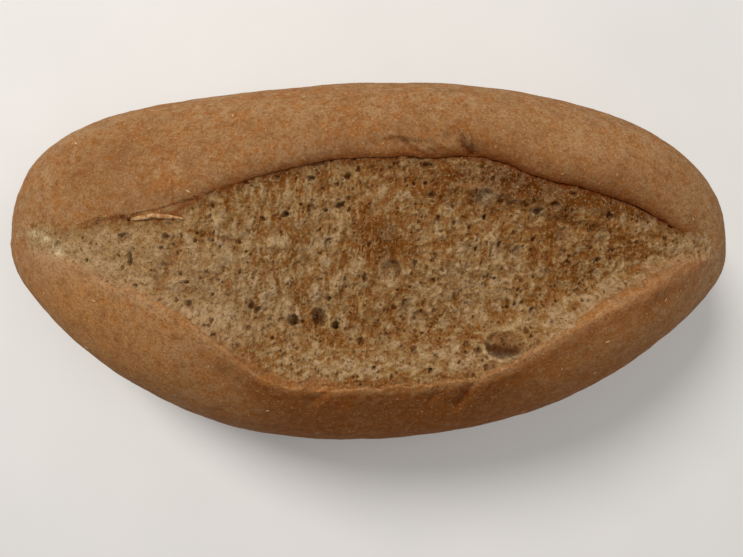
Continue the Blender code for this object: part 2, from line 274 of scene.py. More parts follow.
def plan_section(x):
    """Middle and half width of the loaf at x, seen from above."""
    t = along(x)
    round_end = np.sqrt(np.maximum(1 - t * t, 0.0))
    back = sum(c * t ** (k + 1) for k, c in enumerate(BACK_FULLNESS))
    front = sum(c * t ** (k + 1) for k, c in enumerate(FRONT_FULLNESS))
    back = TIP_LINE_Y + BACK_REACH * round_end * (1 + back)
    front = TIP_LINE_Y - FRONT_REACH * round_end * (1 + front)
    return (back + front) / 2, (back - front) / 2


def equator_height(x):
    """Height at which the sides reach furthest out."""
    return TIP_HEIGHT + (EQUATOR_HEIGHT - TIP_HEIGHT) * (1 - along(x) ** 2)


def crown_height(x):
    """Height that the whole dome reaches at x."""
    bluntness, roundness = CROWN_POWERS
    rise = np.maximum(1 - np.abs(along(x)) ** bluntness, 0.0) ** (1 / roundness)
    return TIP_HEIGHT + (FULL_CROWN - TIP_HEIGHT) * rise


def swelling(x, y):
    """Height that the lumps add over a point of the plan."""
    return sum(
        rise * np.exp(-((x - lump_x) ** 2 + (y - lump_y) ** 2) / radius**2)
        for lump_x, lump_y, radius, rise in LUMPS
    )


def ridging(x, y, ridges):
    """Height that the ridges add and the creases take away."""
    total = 0.0
    for start_x, start_y, end_x, end_y, width, rise in ridges:
        run_x, run_y = end_x - start_x, end_y - start_y
        place = (x - start_x) * run_x + (y - start_y) * run_y
        place = np.clip(place / (run_x**2 + run_y**2), 0.0, 1.0)
        gap = np.hypot(x - start_x - run_x * place, y - start_y - run_y * place)
        total = total + rise * bell(gap, width)
    return total


def crag_height(x, y):
    """The torn crumb's own unevenness."""
    return waves(x, y, 0.0, CRAGS)


def dome_height(x, y):
    """Height of the unburst dome over a point of the plan."""
    middle, half = plan_section(x)
    share = np.clip(np.abs(y - middle) / half, 0.0, 1.0)
    low = equator_height(x)
    arch = (1 - share**SHOULDER) ** (1 / SHOULDER)
    return low + (crown_height(x) - low) * arch + swelling(x, y) * np.sqrt(arch)


def burst_edges(x):
    """The y of the lip and of the crease."""
    middle, half = plan_section(x)
    lip = through(LIP_LINE, along(x))
    ear = through(EAR_LINE, along(x))
    centre = (lip + ear) / 2
    reach = np.maximum((ear - lip) / 2, LEAST_STRIP)
    return middle + half * (centre - reach), middle + half * (centre + reach)


def roll_height(x, y):
    """Height of the back flap, which rolls down to the crease."""
    half = plan_section(x)[1]
    radius = np.minimum(ROLL_RADIUS, half * 0.4)
    inward = np.clip((y - burst_edges(x)[1]) / radius, 0.0, 1.0)
    falloff = (1 - inward) ** 2.2
    return dome_height(x, y) - through(ROLL_DROP, along(x)) * falloff


def crumb_height(x, share):
    """Height of the torn crumb, where share runs from 0 at the lip to 1."""
    lip, ear = burst_edges(x)
    y = lip + (ear - lip) * share
    at_lip, at_crease = dome_height(x, lip), roll_height(x, ear)
    chord = at_lip + (at_crease - at_lip) * share
    up_front = smoothstep(0.0, VALLEY_PLACE, share)
    up_back = np.clip((share - VALLEY_PLACE) / (1 - VALLEY_PLACE), 0.0, 1.0)
    sag = through(VALLEY_DROP, along(x)) * up_front * (1 - up_back**1.3)
    belly = CRUMB_BELLY * np.sin(math.pi * up_back)
    opened = smoothstep(0.0, 0.004, through(ROLL_DROP, along(x)))
    step = LIP_STEP * smoothstep(0.0, LIP_FADE, y - lip)
    shelf_start, shelf_end = SHELF_SPAN
    shelf = (
        SHELF_RISE
        * span(shelf_start, shelf_start + 0.1, shelf_end - 0.1, shelf_end, along(x))
        * smoothstep(-SHELF_WIDTH - 0.003, -SHELF_WIDTH, y - ear)
        * (1 - smoothstep(-0.003, 0.0, y - ear))
    )
    crags = crag_height(x, y) * np.sin(math.pi * share)
    closed = dome_height(x, y)
    return closed + (chord - sag + belly - step + shelf + crags - closed) * opened


# ---- what the pieces add to that form ---------------------------------------------

BURST_ENDS = (-0.84, 0.85)  # where the tear begins and ends along the loaf
BURST_END_FADE = 0.06
# How the tear strays from its two lines, as in CRUST_WAVES.
RAGGED_LIP = ((0.0055, 0.0008, 11), (0.0016, 0.0003, 12))
RAGGED_CREASE = ((0.0075, 0.0005, 13), (0.0021, 0.0002, 14))
# Where along the loaf the front edge of the tear is sharp.
SHARP_EDGE = (-0.46, -0.26, 0.34, 0.60)

# The crust's rings.
STATIONS = 400
LAST_STATION = 0.9985
UNDER_POINTS = 14
FRONT_POINTS = 66
BED_POINTS = 8
ROLL_POINTS = 36
BACK_POINTS = 92
# The front edge turns down under the crumb: way in from the lip and drop.
LIP_TURN = ((0.00030, -0.00010), (0.00075, -0.00060), (0.00110, -0.00160))
LIP_TURN_SHARE = 0.1  # the most it takes of the tear's width
SOFT_LIP = 3.2  # how much wider that turn is where the tear fades out
# The crease turns in under the flap: share of the undercut, drop, and, where the loaf is
# closed, the share of a small gap that keeps the rings' points apart.
CREASE_TURN = ((1.0, 0.0014, 0.75), (0.7, 0.0005, 0.5), (0.2, 0.0001, 0.25))
CLOSED_GAP = 0.0012
CLOSED_GAP_SHARE = 0.04  # the most that gap takes of the tear's width
LEAST_GAP = 1e-6  # width of the tear that a share may be taken of
BED_CORNER = 0.0004  # the bed under the crumb ends this much deeper
# Bumps: size, height and seed. The waves run over crust and crumb alike.
CRUST_WAVES = ((0.0210, 0.00042, 30), (0.0068, 0.00016, 31))
CRUST_GRAIN = ((0.0024, 0.00007, 32), (0.0011, 0.00005, 33))
TORN_RIM = ((0.0016, 0.00030, 42),)
BARE_CRUST = ((0.0020, 0.00035, 43),)
# Small wrinkles across the middle of the rolled edge: bumps with their stretch in x and y,
# distance of their middle from the crease, width, and reach in x.
GATHERS = ((0.0026, 0.00030, 41, 1.5, 0.8), (0.0013, 0.00018, 44, 1.3, 1.0))
GATHER_MIDDLE = 0.0035
GATHER_WIDTH = 0.0040
GATHER_SPAN = (-0.012, 0.010, 0.034, 0.048)
# Finer folds of the crust, as in RIDGES.
FOLDS = (
    (0.0240, 0.0358, 0.0306, 0.0296, 0.0009, -0.0009),
    (0.0266, 0.0364, 0.0312, 0.0304, 0.0007, 0.0005),
    (0.0150, 0.0330, 0.0258, 0.0304, 0.0010, 0.0005),
    (0.0040, 0.0328, 0.0190, 0.0320, 0.0009, -0.0004),
    (0.0180, 0.0358, 0.0235, 0.0336, 0.0008, -0.0005),
    (0.0303, -0.0385, 0.0262, -0.0472, 0.0009, -0.0007),
    (0.0290, -0.0402, 0.0238, -0.0435, 0.0008, 0.0004),
    (0.0213, -0.0392, 0.0180, -0.0450, 0.0008, -0.0005),
    (-0.0126, -0.0404, -0.0165, -0.0442, 0.0008, -0.0004),
)
# Lines that the burst or the oven coloured, as in RIDGES with an amount from 0 to 1.
PALE_LINES = (
    (-0.1156, 0.0072, -0.1060, 0.0072, 0.0006, 1.0),
    (-0.1060, 0.0072, -0.0985, 0.0052, 0.0010, 1.0),
    (-0.0945, 0.0005, -0.0915, 0.0000, 0.0011, 1.0),
    (-0.0900, -0.0006, -0.0800, -0.0045, 0.0009, 0.5),
    # the rim of the largest pore, below: partly pale crumb, partly painted light on its lit lip
    (0.0340, -0.0272, 0.0344, -0.0290, 0.0005, 1.0),  # the rim of the largest pore
    (0.0344, -0.0290, 0.0360, -0.0308, 0.0005, 0.9),
    (0.0360, -0.0308, 0.0388, -0.0315, 0.0005, 0.9),
    (0.0388, -0.0315, 0.0424, -0.0308, 0.0005, 0.7),
    (0.0424, -0.0308, 0.0455, -0.0288, 0.0005, 0.6),
    (0.0038, -0.0042, 0.0043, -0.0077, 0.0005, 0.8),  # the rim of the ringed pore
    (0.0043, -0.0077, 0.0062, -0.0094, 0.0005, 0.8),
    (0.0062, -0.0094, 0.0086, -0.0096, 0.0005, 0.6),
    (0.0104, -0.0068, 0.0096, -0.0034, 0.0005, 0.5),
)
RED_LINES = (
    (0.0212, 0.0216, 0.0329, 0.0186, 0.0016, 0.10),
    (0.0329, 0.0186, 0.0566, 0.0148, 0.0018, 0.35),
    (0.0566, 0.0148, 0.0828, 0.0121, 0.0018, 0.35),
    (-0.0520, 0.0063, -0.0372, 0.0034, 0.0006, 0.6),
    (-0.0540, 0.0027, -0.0585, -0.0051, 0.0009, 0.4),
    (-0.0585, -0.0051, -0.0607, -0.0108, 0.0009, 0.4),
    (-0.0300, -0.0050, -0.0345, -0.0150, 0.0012, 0.6),
    (0.0480, 0.0060, 0.0520, -0.0060, 0.0022, 0.2),
    (0.0000, 0.0120, 0.0060, 0.0030, 0.0030, 0.5),
    (0.0000, 0.0030, 0.0130, 0.0000, 0.0028, 0.4),
)

# Thin dark lines that the crust's material draws: wrinkles of the back flap, folds of the
# front one, and the line in which the crease runs out to the left; their darkness is partly
# browner skin and partly painted shade in them. Ends, width, darkness.
LINE_RAGGED = 0.0014  # how far noise shifts them
LINE_PAINT = 0.50
LINE_DEPTH = 0.0004
DRAWN_LINES = (
    (0.0066, 0.0331, 0.0090, 0.0334, 0.0009, 0.5),
    (0.0090, 0.0334, 0.0113, 0.0317, 0.0010, 0.6),
    (0.0113, 0.0317, 0.0133, 0.0301, 0.0010, 0.7),
    (0.0133, 0.0301, 0.0163, 0.0290, 0.0009, 0.8),
    (0.0273, 0.0339, 0.0283, 0.0312, 0.0009, 0.7),
    (0.0283, 0.0312, 0.0302, 0.0292, 0.0010, 0.9),
    (0.0302, 0.0342, 0.0304, 0.0314, 0.0009, 0.6),
    (0.0304, 0.0314, 0.0305, 0.0297, 0.0009, 0.9),
    (0.0180, 0.0299, 0.0201, 0.0289, 0.0009, 0.5),
    (0.0303, -0.0391, 0.0290, -0.0418, 0.0010, 1.0),
    (0.0290, -0.0418, 0.0267, -0.0456, 0.0011, 0.7),
    (0.0230, -0.0399, 0.0211, -0.0413, 0.0009, 0.8),
    (0.0211, -0.0413, 0.0186, -0.0433, 0.0009, 0.6),
    (-0.0111, -0.0396, -0.0123, -0.0414, 0.0009, 0.6),
    (-0.0702, 0.0105, -0.0658, 0.0116, 0.0007, 0.7),
    (-0.0658, 0.0116, -0.0614, 0.0122, 0.0006, 0.4),
    (-0.0614, 0.0122, -0.0569, 0.0133, 0.0006, 0.5),
    (-0.0569, 0.0133, -0.0527, 0.0147, 0.0006, 0.5),
    (-0.0527, 0.0147, -0.0494, 0.0160, 0.0006, 0.5),
)
# Dark lines in the crumb, as in RIDGES with an amount from 0 to 1.
SHADE_LINES = (
    (-0.0831, 0.0076, -0.0792, 0.0098, 0.0008, 0.45),
    (-0.0792, 0.0098, -0.0707, 0.0105, 0.0008, 0.60),
    (-0.0715, 0.0104, -0.0690, 0.0103, 0.0008, 0.90),
    (-0.0640, 0.0084, -0.0580, 0.0084, 0.0006, 0.40),
    (-0.0580, 0.0084, -0.0542, 0.0096, 0.0006, 0.40),
    (-0.0498, 0.0072, -0.0442, 0.0052, 0.0006, 0.40),
    (0.0042, -0.0062, 0.0045, -0.0039, 0.0005, 0.60),  # in the ringed pore
    (0.0045, -0.0039, 0.0062, -0.0023, 0.0005, 0.75),
    (0.0062, -0.0023, 0.0080, -0.0025, 0.0005, 0.55),
)

# Strengths along the loaf: the flap's painted shade on the crumb, the painted shadow line
# down in the crease, the painted shade, partly a darker bake, below the lip, the width over
# which that sets in, and the front side's painted shade, partly a darker bake.
CREASE_SHADE = (
    (-0.72, 0.0), (-0.56, 0.10), (-0.42, 0.20), (-0.30, 0.45), (-0.10, 0.38), (0.05, 0.28),
    (0.20, 0.50), (0.30, 0.60), (0.45, 0.70), (0.60, 0.62), (0.75, 0.45), (0.85, 0.15),
)
CREASE_SHADOW_STRENGTH = (
    (-0.74, 0.0), (-0.66, 0.25), (-0.50, 0.35), (-0.40, 0.6), (-0.10, 0.7), (0.02, 0.5),
    (0.15, 0.7), (0.35, 1.0), (0.75, 1.0), (0.85, 0.3),
)
LIP_SHADE_AND_BAKE = (
    (-0.43, 0.0), (-0.34, 0.40), (-0.26, 0.66), (0.30, 0.74), (0.40, 0.45), (0.50, 0.10),
)
LIP_SHADE_WIDTH = (
    (-0.42, 0.008), (-0.34, 0.005), (-0.26, 0.0016), (0.35, 0.0016), (0.50, 0.0024),
)
FRONT_SHADE_AND_BAKE = (
    (-0.80, 0.10), (-0.50, 0.36), (-0.18, 1.0), (0.30, 1.0), (0.50, 0.75), (0.85, 0.5),
)
# Where colours of the crust fade in or out in x: the crease's red, its weaker right end, the
# lip's right and left ends, and the dusty right half of the flap.
CREASE_RED = (-0.070, -0.020)
CREASE_END = (0.070, 0.095)
RIGHT_LIP = (0.028, 0.050)
LEFT_LIP = (-0.050, -0.065)
RED_LIP = (-0.060, -0.030)
DUSTY_FLAP = (0.020, 0.050, 0.072, 0.092)
UPPER_SIDE = (0.012, 0.040)  # height over which what only the top has sets in
BARE_LEFT = (-0.040, -0.048)  # where in x the torn crust left of the crease begins
# How the lip's browned line frays, as in CRUST_WAVES.
LIP_FRAY = ((0.0050, 0.0009, 15),)
LIP_FINE_FRAY = ((0.0018, 0.0006, 16),)

# Patches of the crust that browned more: x, y, radii, amount.
CRUST_PATCHES = (
    (-0.078, 0.026, 0.018, 0.012, 0.45),
    (-0.056, 0.016, 0.014, 0.004, 0.40),
    (0.038, 0.029, 0.010, 0.006, 0.50),
    (0.068, 0.024, 0.022, 0.006, 0.42),
    (-0.010, 0.034, 0.050, 0.006, 0.25),
    (0.086, 0.014, 0.016, 0.010, 0.30),
    (-0.0740, 0.0300, 0.0050, 0.0060, 0.30),
    (-0.0880, 0.0230, 0.0060, 0.0050, 0.25),
    (-0.0500, 0.0290, 0.0060, 0.0050, 0.25),
    (-0.058, -0.034, 0.022, 0.010, 0.20),
)
# Patches that stayed paler, at the two ends of the tear.
PALE_PATCHES = (
    (0.1070, -0.0010, 0.010, 0.006, 0.55),
    (-0.0990, 0.0030, 0.012, 0.008, 0.75),
    (-0.0920, -0.0040, 0.010, 0.005, 0.30),
    (-0.0780, -0.0020, 0.014, 0.006, 0.30),
)
# Golden patches of the crust.
GOLD_PATCHES = (
    (-0.092, -0.018, 0.030, 0.020, 1.0),
    (0.068, 0.033, 0.026, 0.009, 0.25),
    (0.0673, -0.0186, 0.012, 0.006, 0.45),
    (-0.058, -0.034, 0.022, 0.010, 0.30),
)
# Patches of the crumb: darker (above 0) or lit, greyish, and pinkish.
SHADE_PATCHES = (
    (0.0430, 0.0215, 0.020, 0.006, 0.75),
    (0.0325, 0.0188, 0.006, 0.003, -0.60),
    (0.0386, -0.0299, 0.0042, 0.0018, 1.00),  # the cave of the largest pore
    (0.0425, -0.0288, 0.0030, 0.0016, 0.55),
)
GREY_PATCHES = (
    (0.0286, 0.0248, 0.0022, 0.0011, 0.9),
    (0.0328, 0.0238, 0.0018, 0.0010, 0.8),
    (0.0396, 0.0249, 0.0022, 0.0010, 0.6),
    (0.0173, 0.0276, 0.0014, 0.0010, 0.6),
    (0.0562, 0.0192, 0.0022, 0.0010, 0.7),
    (0.0354, 0.0180, 0.0016, 0.0014, 0.6),
    (-0.0198, 0.0255, 0.0016, 0.0012, 0.5),
    (0.0072, -0.0054, 0.0026, 0.0028, 0.75),
    (0.0143, -0.0036, 0.0010, 0.0017, 0.6),
)
PINK_PATCHES = (
    (-0.0700, -0.0020, 0.018, 0.009, 0.28),
    (-0.0470, -0.0080, 0.012, 0.008, 0.25),
    (-0.0414, -0.0224, 0.010, 0.005, 0.40),
    (0.0352, -0.0335, 0.010, 0.003, 0.30),
)
# Where the shelf below the crease falls off more gently than in the solid: x, y, radii,
# height.
LEDGE_EASE = (
    (0.0290, 0.0172, 0.009, 0.0020, 0.0008),
    (0.0290, 0.0204, 0.009, 0.0018, -0.0007),
    (0.0400, 0.0150, 0.005, 0.0018, 0.0006),
    (0.0400, 0.0180, 0.005, 0.0016, -0.0005),
)
# Crumb that tore so late that it is nearly white, and light caught in pores.
WHITE_PATCHES = (
    (-0.0934, 0.0005, 0.0017, 0.0014, 1.0),
    (-0.0962, 0.0020, 0.0010, 0.0012, 0.6),
    (-0.0986, 0.0048, 0.0016, 0.0010, 0.7),
    (-0.1040, 0.0072, 0.0040, 0.0010, 0.5),
    (0.0396, -0.0299, 0.0044, 0.0014, 0.18),
    (0.0352, 0.0170, 0.0032, 0.0022, 0.20),
)

# The strip of crust that tore loose at the left of the crease.
SLIVER_START = -0.0690
SLIVER_END = -0.0524
SLIVER_Y = 0.0096
SLIVER_WIDTH = 0.0017
SLIVER_HEIGHT = 0.0014
SLIVER_BOW = 0.0008
SLIVER_LIFT = 0.0002  # its two ends over the crumb
SLIVER_WAVES = ((0.004, 0.0002, 81),)
SLIVER_GRAIN = ((0.0017, 0.25, 82),)
SLIVER_RINGS = 40
SLIVER_SIDES = 10

# The crumb's grid.
CRUMB_CORNER = (-0.1120, -0.0485)
CRUMB_FAR_CORNER = (0.1135, 0.0350)
HIDDEN_DEPTH = 0.0011  # how far the crumb's own edge lies under the crust
CREASE_RISE = 0.0004  # the crumb comes up a little under the flap
# Falls of the crumb beyond the tear's ends and the crease, and beyond the lip by the
# place along the loaf.
END_SLOPE = 0.16
CREASE_SLOPE = 0.5
TUCK_SLOPE = (
    (-0.84, 0.16), (-0.50, 0.16), (-0.36, 0.28), (-0.22, 0.9), (0.26, 0.9), (0.45, 0.5),
    (0.85, 0.3),
)
# Unevenness of the toasting: size, amount, seed.
TOASTING = ((0.0085, 0.18, 58), (0.0036, 0.34, 59), (0.0020, 0.26, 70))
# Tufts of the torn crumb: size, share of the relief, seed. Two more noises, the drawn and
# the level one, have the next two seeds.
TUFTS = ((0.0052, 0.24, 63), (0.0028, 0.40, 53), (0.0014, 0.36, 61))
SHARP_TUFTS = 0.50  # share of their relief that has creases between them
# How noise bends the crumb's pores and tufts, and frays the skin over its front edge.
WARP_X = ((0.0010, 0.00030, 51), (0.0022, 0.0004, 64))
WARP_Y = ((0.0010, 0.00030, 52), (0.0022, 0.0004, 65))
SKIN_FRAY = ((0.0060, 0.0016, 60), (0.0018, 0.0014, 67))
STREAKS = (-0.022, 0.034)  # middle and width in x of where the crumb tore in streaks
FRONT_SHARE = (0.14, 0.30)  # the crumb's front edge, as shares of the way to the crease
# Where in x the crumb is quiet at the left, where it is toasted at its borders, and where
# baked skin lies over the left of the lip.
QUIET_LEFT = (-0.060, -0.034)
TOASTED_BORDER = (-0.040, -0.026, 0.044, 0.060)
BAKED_SKIN = (-0.050, -0.038, -0.014, 0.0)
# Fields of small pores: spacing, seed, share of places filled, depth by radius, strength
# of the rims.
FOAMS = (
    (0.00090, 71, 0.30, 0.80, 0.8),
    (0.00140, 72, 0.18, 0.55, 0.8),
    (0.00240, 73, 0.16, 0.30, 0.4),
)
CUPS = (0.00520, 74, 0.45, 0.14)  # a field of shallow cups, likewise
CUP_DEPTH = 0.0003
# the pores of a field denser than DARK_SPACING get painted shade inside them
DARK_SPACING = 0.002  # pores of a denser field than this are dark inside
LARGE_PORE = 0.006  # a pore wider than this is a cave with a sloping roof
# The side each of PORES leans to, and is painted in shade on, in degrees from +X.
PORE_LEANS = (
    262, 20, 250, 230, 280, 300, 180, 200, 100, 90, 90, 80, 200, 240, 120, 90, 90, 90, 110,
    110, 90, 90, 200, 240, 180, 170, 90, 250, 120,
)
# Shallow hollows, too slight for the solid, as in PORES with their leans.
HOLLOWS = (
    (-0.0937, 0.0020, 0.0040, 0.0034, 0.0006, 60, 150),
    (-0.0700, 0.0040, 0.0042, 0.0028, 0.0009, 20, 140),
    (-0.0161, 0.0126, 0.0042, 0.0034, 0.0008, 70, 160),
    (-0.0112, 0.0025, 0.0044, 0.0034, 0.0007, 95, 170),
    (0.0270, -0.0120, 0.0040, 0.0034, 0.0007, 30, 200),
    (0.0120, -0.0150, 0.0044, 0.0034, 0.0007, 80, 190),
    (0.0450, 0.0010, 0.0038, 0.0030, 0.0007, 30, 170),
)
# Small pores seen one by one, painted dark inside as shade: x, y, width.
DARK_PORES = (
    (0.0090, -0.0054, 0.0011), (0.0081, -0.0068, 0.0008), (0.0056, -0.0057, 0.0007),
    (-0.0450, 0.0134, 0.0014), (-0.0499, 0.0033, 0.0015), (-0.0450, 0.0036, 0.0014),
    (-0.0727, -0.0009, 0.0010), (-0.0834, -0.0022, 0.0014), (-0.0676, -0.0094, 0.0014),
    (-0.0525, -0.0087, 0.0012), (-0.0512, -0.0198, 0.0016), (-0.0264, 0.0220, 0.0013),
    (0.0168, 0.0209, 0.0016), (-0.0124, 0.0124, 0.0016), (-0.0115, -0.0134, 0.0016),
    (0.0319, 0.0015, 0.0016), (0.0671, 0.0016, 0.0012), (0.0694, -0.0016, 0.0016),
    (0.0345, 0.0108, 0.0017), (-0.0260, -0.0290, 0.0012), (-0.0250, -0.0300, 0.0012),
    (0.0134, -0.0291, 0.0015), (0.0181, -0.0346, 0.0018), (0.0017, -0.0338, 0.0016),
    (0.0330, -0.0288, 0.0016), (0.0292, -0.0295, 0.0014), (0.0479, -0.0243, 0.0014),
    (0.0564, -0.0142, 0.0013), (0.0086, -0.0048, 0.0010), (0.0375, -0.0287, 0.0015),
    (0.0437, -0.0279, 0.0016), (0.0135, 0.0205, 0.0013), (0.0300, 0.0075, 0.0012),
    (-0.1061, 0.0074, 0.0010), (-0.1026, 0.0065, 0.0011), (-0.0986, 0.0064, 0.0010),
    (-0.0601, -0.0140, 0.0011), (-0.0507, 0.0125, 0.0010), (-0.0764, -0.0084, 0.0010),
)
# Patches that baked darker (above 0) or stayed paler: x, y, radii, amount.
TOAST_PATCHES = (
    (0.060, 0.018, 0.036, 0.006, 0.38),
    (0.058, 0.006, 0.030, 0.014, 0.14),
    (0.032, 0.024, 0.030, 0.006, 0.42),
    (-0.040, 0.002, 0.018, 0.014, -0.20),
    (0.002, 0.006, 0.012, 0.008, 0.16),
    (-0.030, 0.008, 0.014, 0.012, 0.15),
    (0.056, 0.000, 0.010, 0.012, 0.08),
    (-0.012, -0.024, 0.012, 0.006, 0.10),
    (-0.080, 0.002, 0.022, 0.012, -0.16),
    (0.010, -0.033, 0.052, 0.004, -0.22),
    (0.0401, -0.0243, 0.0044, 0.0020, 0.55),
    (-0.048, -0.020, 0.018, 0.006, -0.30),
    (0.078, -0.012, 0.018, 0.005, -0.25),
    (0.030, -0.008, 0.016, 0.010, -0.15),
    (0.014, 0.014, 0.012, 0.006, -0.15),
    (-0.0346, -0.0049, 0.018, 0.012, -0.10),
    (0.0700, -0.0002, 0.014, 0.008, 0.14),
    (0.0410, -0.0047, 0.012, 0.010, -0.06),
    (0.0253, -0.0198, 0.006, 0.004, -0.15),
    (0.0300, 0.0185, 0.009, 0.0016, -0.25),
    (0.000, 0.0205, 0.020, 0.005, -0.08),
)


def opening(x):
    """1 where the loaf stands open, 0 beyond the tear's two ends."""
    start, end = BURST_ENDS
    return span(start, start + BURST_END_FADE, end - BURST_END_FADE, end, along(x))


def torn_edges(x):
    """The lip and the crease with the ragged line that a tear leaves."""
    lip, ear = burst_edges(x)
    open_here = opening(x)
    ragged_lip = waves(x, 0.0, 0.0, RAGGED_LIP) * open_here
    return lip + ragged_lip, ear + waves(x, 0.0, 0.0, RAGGED_CREASE) * open_here


def softness(x):
    """1 where the front edge of the tear fades out at the loaf's two ends."""
    return 1 - span(*SHARP_EDGE, along(x))


# ---- the crust --------------------------------------------------------------------


def side_rings(x):
    """Half of each ring below the equator: distance from the middle, and height."""
    half, equator = plan_section(x)[1], equator_height(x)
    reach = (equator + BASE_DIP) * np.sqrt(1 - np.abs(along(x)) ** UNDER_BLUNTNESS)
    last_turn = np.arcsin(np.minimum(equator / reach, 1.0) ** (UNDERSIDE / 2))
    last_turn = np.minimum(last_turn, LAST_UNDER_TURN)
    turn = last_turn * (np.arange(UNDER_POINTS) + 1) / UNDER_POINTS
    across = half * np.cos(turn) ** (2 / UNDERSIDE)
    return across, np.maximum(equator - reach * np.sin(turn) ** (2 / UNDERSIDE), 0.0)


def crust_rings(sizes):
    """Grids of x, y and z, one row for each station along the loaf. A row goes from below
    over the front, down at the lip, under the crumb and up over the rolled flap."""
    place = np.linspace(-1, 1, STATIONS)[:, None]
    x = LENGTH / 2 * LAST_STATION * np.sin(math.pi / 2 * place)
    middle, half = plan_section(x)
    open_here = opening(x)
    lip, ear = torn_edges(x)
    across, below = side_rings(x)

    lip_turn = np.arccos(np.minimum((middle - lip) / half, 1.0) ** (SHOULDER / 2))
    turn = lip_turn * np.arange(FRONT_POINTS) / FRONT_POINTS
    front_y = middle - half * np.cos(turn) ** (2 / SHOULDER)
    rows = [(middle, below[:, -1:]), ((middle - across)[:, ::-1], below[:, ::-1])]
    rows += [(front_y, dome_height(x, front_y)), (lip, dome_height(x, lip))]
    widen = 1 + (SOFT_LIP - 1) * softness(x)
    most = (ear - lip) * LIP_TURN_SHARE
    for inward, drop in LIP_TURN:
        y = lip + np.minimum(inward * widen, most * inward / LIP_TURN[-1][0])
        rows.append((y, dome_height(x, y) + drop * open_here))
    bed_start = rows[-1][0]
    share = (np.arange(BED_POINTS) + 0.5) / BED_POINTS
    bed_y = bed_start + (ear - bed_start) * share
    bed_share = np.clip((bed_y - lip) / np.maximum(ear - lip, LEAST_GAP), 0.0, 1.0)
    bed = sizes.bed_depth * open_here
    rows.append((bed_y, crumb_height(x, bed_share) - bed))

    smooth_ear = burst_edges(x)[1]
    crease = roll_height(x, smooth_ear)
    cut = sizes.undercut * open_here
    gap = np.minimum(CLOSED_GAP, (ear - lip) * CLOSED_GAP_SHARE) * (1 - open_here)
    rows.append((ear + cut * 0.5 - gap, crease - bed - BED_CORNER * open_here))
    for inward, drop, closed in CREASE_TURN:
        y = ear + cut * inward - closed * gap
        shut = dome_height(x, y) - crease
        rows.append((y, crease - drop * open_here + shut * (1 - open_here)))
    radius = np.minimum(ROLL_RADIUS, half * 0.4)
    roll_turn = math.pi / 2 * (np.arange(ROLL_POINTS) + 0.5) / ROLL_POINTS
    roll_share = 1 - np.cos(roll_turn)
    roll_y = ear + (smooth_ear + radius - ear) * roll_share
    rows.append((roll_y, roll_height(x, smooth_ear + radius * roll_share)))
    crest = np.clip((smooth_ear + radius - middle) / half, 0.0, 1.0)
    turn = np.arccos(crest ** (SHOULDER / 2))
    turn = turn * (1 - np.arange(BACK_POINTS + 1) / BACK_POINTS)
    back_y = middle + half * np.cos(turn) ** (2 / SHOULDER)
    rows += [(back_y, roll_height(x, back_y)), (middle + across, below)]
    columns = [np.broadcast_arrays(x, y, z) for y, z in rows]
    return [np.concatenate([column[k] for column in columns], axis=1) for k in range(3)]


def closed_tube(x):
    """Faces of a tube of rings and its two tips, as vertex numbers."""
    rings, around = x.shape
    index = np.arange(rings * around).reshape(rings, around)
    near, far = index[:-1], index[1:]
    quads = np.stack([near, far, np.roll(far, -1, axis=1), np.roll(near, -1, axis=1)], axis=-1)
    left, right = rings * around, rings * around + 1
    caps = [(a, b, left) for a, b in zip(index[0], np.roll(index[0], -1))]
    caps += [(b, a, right) for a, b in zip(index[-1], np.roll(index[-1], -1))]
    return quads.reshape(-1, 4).tolist() + caps


def new_piece(name, points, faces, material):
    """A smooth-shaded object at the origin."""
    mesh = bpy.data.meshes.new(name)
    mesh.from_pydata(points, [], faces)
    mesh.materials.append(material)
    mesh.shade_smooth()
    piece = bpy.data.objects.new(name, mesh)
    bpy.context.scene.collection.objects.link(piece)
    return piece


def turn_outwards(mesh):
    """Turns a closed mesh's faces so that they all point outwards."""
    work = bmesh.new()
    work.from_mesh(mesh)
    bmesh.ops.recalc_face_normals(work, faces=work.faces)
    work.to_mesh(mesh)
    work.free()


def write_attribute(mesh, name, values):
    """Stores one number for each vertex, for the materials to read."""
    layer = mesh.attributes.new(name, "FLOAT", "POINT")
    layer.data.foreach_set("value", np.asarray(values, np.float32).ravel())


def dress(piece):
    """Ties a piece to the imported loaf."""
    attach(piece, "root")
    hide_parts("loaf")


def crust_relief(x, y, z, behind, before):
    """How far the crust's small bumps stand out, and how far its folds lift it."""
    upper = smoothstep(*UPPER_SIDE, z)
    bumps = waves(x, y, z, CRUST_WAVES + CRUST_GRAIN)
    torn = bell(before, 0.0018) * upper * opening(x)
    bumps = bumps + torn * waves(x, y, 0.0, TORN_RIM)
    bare = (behind < 0.0002) * (before < 0) * upper * smoothstep(*BARE_LEFT, x)
    bumps = bumps + bare * waves(x, y, 0.0, BARE_CRUST)
    gather = bell(behind - GATHER_MIDDLE, GATHER_WIDTH) * upper * span(*GATHER_SPAN, x)
    for size, height, seed, stretch_x, stretch_y in GATHERS:
        bumps = bumps + height * gather * noise(x * stretch_x, y * stretch_y, 0.0, size, seed)
    folds = (ridging(x, y, RIDGES) + ridging(x, y, FOLDS)) * (z > 0.03)
    on_crust = (behind > -0.0008) | (before > -0.0008)
    return bumps * smoothstep(0.0, 0.004, z), folds * on_crust


